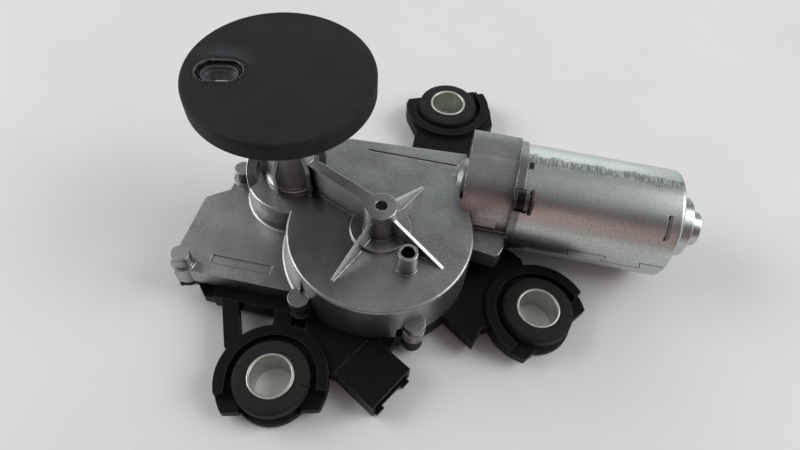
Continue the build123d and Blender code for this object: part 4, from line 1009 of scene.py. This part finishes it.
class WiperCan(Step):
    """Plates the motor can and draws its dovetailed seam."""

    bl_idname = "wiper.can"
    bl_label = "Motor can"

    def make(self, stage, metal, moulding, piece):
        axis = middle("armature_shaft")
        points = node_points("motor_yoke")
        barrel = points[points[:, 0] > 5 * MM]
        off_axis = np.hypot(barrel[:, 1] - axis.y, barrel[:, 2] - axis.z)
        radius = float(off_axis.max())
        end = float(barrel[off_axis > radius - 0.1 * MM][:, 0].max())
        start = float(points[:, 0].min())
        dress("motor_yoke", zinc_plate(metal, axis))
        low, high, hook = math.radians(190.8), math.radians(180.2), 0.6 * MM
        path, level = [(start + 1.6 * MM, high)], high
        for step in range(4):
            knee = start + 8.1 * MM + step * 13.25 * MM
            if knee > end - 2 * MM:
                break
            other = low if level == high else high
            path += [(knee + hook, level), (knee - hook, other)]
            level = other
        path.append((end - 0.2 * MM, level))
        seam = ribbon(bent(path, 5), piece.seam_width, piece.seam_height, radius)
        dark = plain_metal("seam_shadow", (0.05, 0.05, 0.05), 0.6, 0.2, 0.3)
        self.plate("can_seam", [can_surface(seam, axis, radius)], dark)
        # Painted shade: dark plates laid in the lanced slot and the crimp notch, where only the
        # dark inside shows
        shadow = plain_moulding("can_opening_shade", (0.012, 0.012, 0.012), 0.6)
        patches = [
            (end - 5.92 * MM, end - 4.08 * MM, 121.0, 147.0, -0.95 * MM, -0.62 * MM, radius),
            (start + 0.5 * MM, start + 2.3 * MM, 91.0, 99.5, -0.10 * MM, 0.05 * MM),
        ]
        grids = [can_surface(patch(*sides), axis, radius) for sides in patches]
        self.plate("can_opening_shades", grids, shadow)
        tongue = patch(end - 5.45 * MM, end - 4.5 * MM, 125.5, 142.5, -0.9 * MM, -0.3 * MM, radius)
        bright = plain_metal("bare_zinc", (0.60, 0.62, 0.61), 0.35)
        self.plate("can_tongue", [can_surface(tongue, axis, radius)], bright)

    def plate(self, name, grids, skin):
        """A fine piece of the can, closed at its two ends."""
        strips = [(grid, False, True, True) for grid in grids]
        mesh_piece(name, strips, skin)


class WiperDisc(Step):
    """Finishes the drive disc and its insert."""

    bl_idname = "wiper.disc"
    bl_label = "Drive disc"

    def make(self, stage, metal, moulding, piece):
        place = middle("slot_insert")
        low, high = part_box("slot_insert")
        dress("drive_disc", disc_charcoal(moulding, place))
        flat = (place.x, place.y, 0.0)
        corners = [
            (2.6, low.z / MM, 0.1),
            (2.6, high.z / MM - 0.75, 0.15),
            (2.85, high.z / MM - 0.50, 0.1),
            (3.1, high.z / MM - 0.50, 0.1),
            (3.25, high.z / MM + 0.75, 0.12),
            (3.7, high.z / MM + 0.75, 0.15),
            (3.7, low.z / MM, 0.1),
        ]
        profile = rounded(corners, 4)
        rows = np.column_stack([profile, 1.3 + 0.27 * profile[:, 0]]) * MM
        insert = [(stadium(rows, flat, DISC_SLOT_TURN, 120), True, True)]
        skin = plain_moulding("insert", moulding.insert_colour, 0.38)
        mesh_piece("insert_lip", insert, skin, "output", ["slot_insert"])
        a = (np.arange(240) + 0.5) * TURN / 240
        ragged = 0.12 * np.sin(9 * a) + 0.10 * np.sin(23 * a + 1) + 0.08 * np.sin(41 * a + 2)
        rows = [(5.32, 0.0), (5.3, 0.9), (5.02, 0.6), (5.02, 0.12)]
        rows = [(radius, DISC_TOP - drop, 2.4) for radius, drop in rows]
        rows = np.array(rows)[None] + 0 * a[:, None, None]
        rows[:, 2:, 0] += 0.6 * ragged[:, None]
        rows[:, 2, 1] += ragged
        fringe = stadium(rows * MM, flat, DISC_SLOT_TURN, 240)
        pale = plain_moulding("scuffed_edge", (0.16, 0.17, 0.175), 0.5)
        mesh_piece("slot_fringe", [(fringe, True, True)], pale, "output")


class WiperCover(Step):
    """Finishes the cover with its collars, the seal and the connector."""

    bl_idname = "wiper.cover"
    bl_label = "Cover"

    def make(self, stage, metal, moulding, piece):
        black = list(moulding.cover_colour)
        dress("bracket_cover", black_moulding("cover_moulding", black, 0.35, 0.48))
        socket = black_moulding("connector_moulding", CONNECTOR_BLACK, 0.25, 0.42, 0.15)
        dress("connector_shell", socket)
        dress("cover_gasket", plain_moulding("gasket", (0.012, 0.012, 0.012), 0.7))
        dress("connector_terminals", plain_metal("tin", (0.62, 0.61, 0.58), 0.3))


class WiperGrommets(Step):
    """Makes the three rubber grommets with rounded flanges and parting lines."""

    bl_idname = "wiper.grommets"
    bl_label = "Grommets"

    def make(self, stage, metal, moulding, piece):
        skin = rubber("grommet_rubber", list(moulding.rubber_colour))
        for name in bush_names():
            grids = [(grommet_grid(name, piece), True, True)]
            stood_for = [name + "_grommet"]
            mesh_piece(name + "_spool", grids, skin, "case", stood_for)


class WiperSleeves(Step):
    """Makes the three steel sleeves with chamfered ends."""

    bl_idname = "wiper.sleeves"
    bl_label = "Sleeves"

    def make(self, stage, metal, moulding, piece):
        skin = plain_metal("passivated_sleeve", list(metal.sleeve_colour), 0.36, 0.2, 0.5)
        for name in bush_names():
            grids = [(sleeve_grid(name, piece), True, True)]
            stood_for = [name + "_sleeve"]
            mesh_piece(name + "_tube", grids, skin, "case", stood_for, 30.0)


class WiperInside(Step):
    """Finishes the shafts, gears, windings, magnets and other inner pieces."""

    bl_idname = "wiper.inside"
    bl_label = "Inner pieces"

    def make(self, stage, metal, moulding, piece):
        for name, base, surface, nodes in INNER_METALS:
            skin = plain_metal(name, base, *surface)
            for node in nodes.split():
                dress(node, skin)
        for name, base, roughness, nodes in INNER_MOULDINGS:
            skin = plain_moulding(name, base, roughness)
            for node in nodes.split():
                dress(node, skin)


class WiperScrews(Step):
    """Finishes the motor screws and the cover screws."""

    bl_idname = "wiper.screws"
    bl_label = "Screws"

    def make(self, stage, metal, moulding, piece):
        skin = coated_screw(metal)
        angles = full_turn(72)
        grids = []
        for low, high in separate_boxes("motor_screws", 0, 12 * MM):
            radius = (high[1] - low[1]) / 2
            top, height = high[0], 1.5 * MM
            rings = head_rings(angles, radius, height, 2.35 * MM, 1.0 * MM)
            rings += [(2.9 * MM, 0.0), (2.9 * MM, -0.69 * MM), (2.0 * MM, -0.72 * MM)]
            pitch, tip = piece.motor_pitch, low[0] - top + height
            rings += shank_rings(angles, 1.99 * MM, 0.35 * MM, pitch, -0.8 * MM, tip, 0.8 * MM)
            place = (top - height, (low[1] + high[1]) / 2, (low[2] + high[2]) / 2)
            along_x = ((0, 0, 1), (0, 1, 0), (-1, 0, 0))
            grids.append((carried(stacked(rings, angles), along_x, place), True, False, True))
        self.screws("motor_screw_pair", grids, "motor_screws", skin)
        grids = []
        for low, high in separate_boxes("cover_screws", 2, 9 * MM):
            radius, height = (high[0] - low[0]) / 2, 2.2 * MM
            rings = head_rings(angles, radius, height, 1.9 * MM, 1.3 * MM)
            rings.append((1.5 * MM, 0.0))
            pitch, tip = piece.thread_pitch, -(high[2] - low[2] - height)
            rings += shank_rings(angles, 1.94 * MM, 0.45 * MM, pitch, -0.1 * MM, tip, 1.6 * MM)
            place = ((low[0] + high[0]) / 2, (low[1] + high[1]) / 2, low[2] + height)
            head_down = ((1, 0, 0), (0, -1, 0), (0, 0, -1))
            grids.append((carried(stacked(rings, angles), head_down, place), True, False, True))
        self.screws("cover_screw_set", grids, "cover_screws", skin)

    def screws(self, name, grids, node, skin):
        """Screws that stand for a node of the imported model."""
        mesh_piece(name, grids, skin, "case", [node], 35.0)


STEPS = (
    WiperStage,
    WiperCase,
    WiperCan,
    WiperDisc,
    WiperCover,
    WiperGrommets,
    WiperSleeves,
    WiperScrews,
    WiperInside,
)


class WiperPanel(bpy.types.Panel):
    """Lists the settings and the steps."""

    bl_idname = "VIEW3D_PT_wiper_motor"
    bl_label = "Wiper motor"
    bl_space_type = "VIEW_3D"
    bl_region_type = "UI"
    bl_category = "Wiper motor"

    def draw(self, context):
        for name, group in SETTINGS.items():
            box = self.layout.box()
            for key in group.__annotations__:
                box.prop(getattr(context.scene, name), key)
        for step in STEPS:
            self.layout.operator(step.bl_idname)


def register():
    """Adds the settings, the steps and the panel to Blender."""
    for name, group in SETTINGS.items():
        bpy.utils.register_class(group)
        setattr(bpy.types.Scene, name, PointerProperty(type=group))
    for entry in (*STEPS, WiperPanel):
        bpy.utils.register_class(entry)


def unregister():
    """Takes them out again."""
    for entry in reversed((*STEPS, WiperPanel)):
        bpy.utils.unregister_class(entry)
    for name, group in SETTINGS.items():
        delattr(bpy.types.Scene, name)
        bpy.utils.unregister_class(group)


def main():
    register()
    for step in STEPS:
        group, name = step.bl_idname.split(".")
        getattr(getattr(bpy.ops, group), name)()


if __name__ == "__main__":
    main()
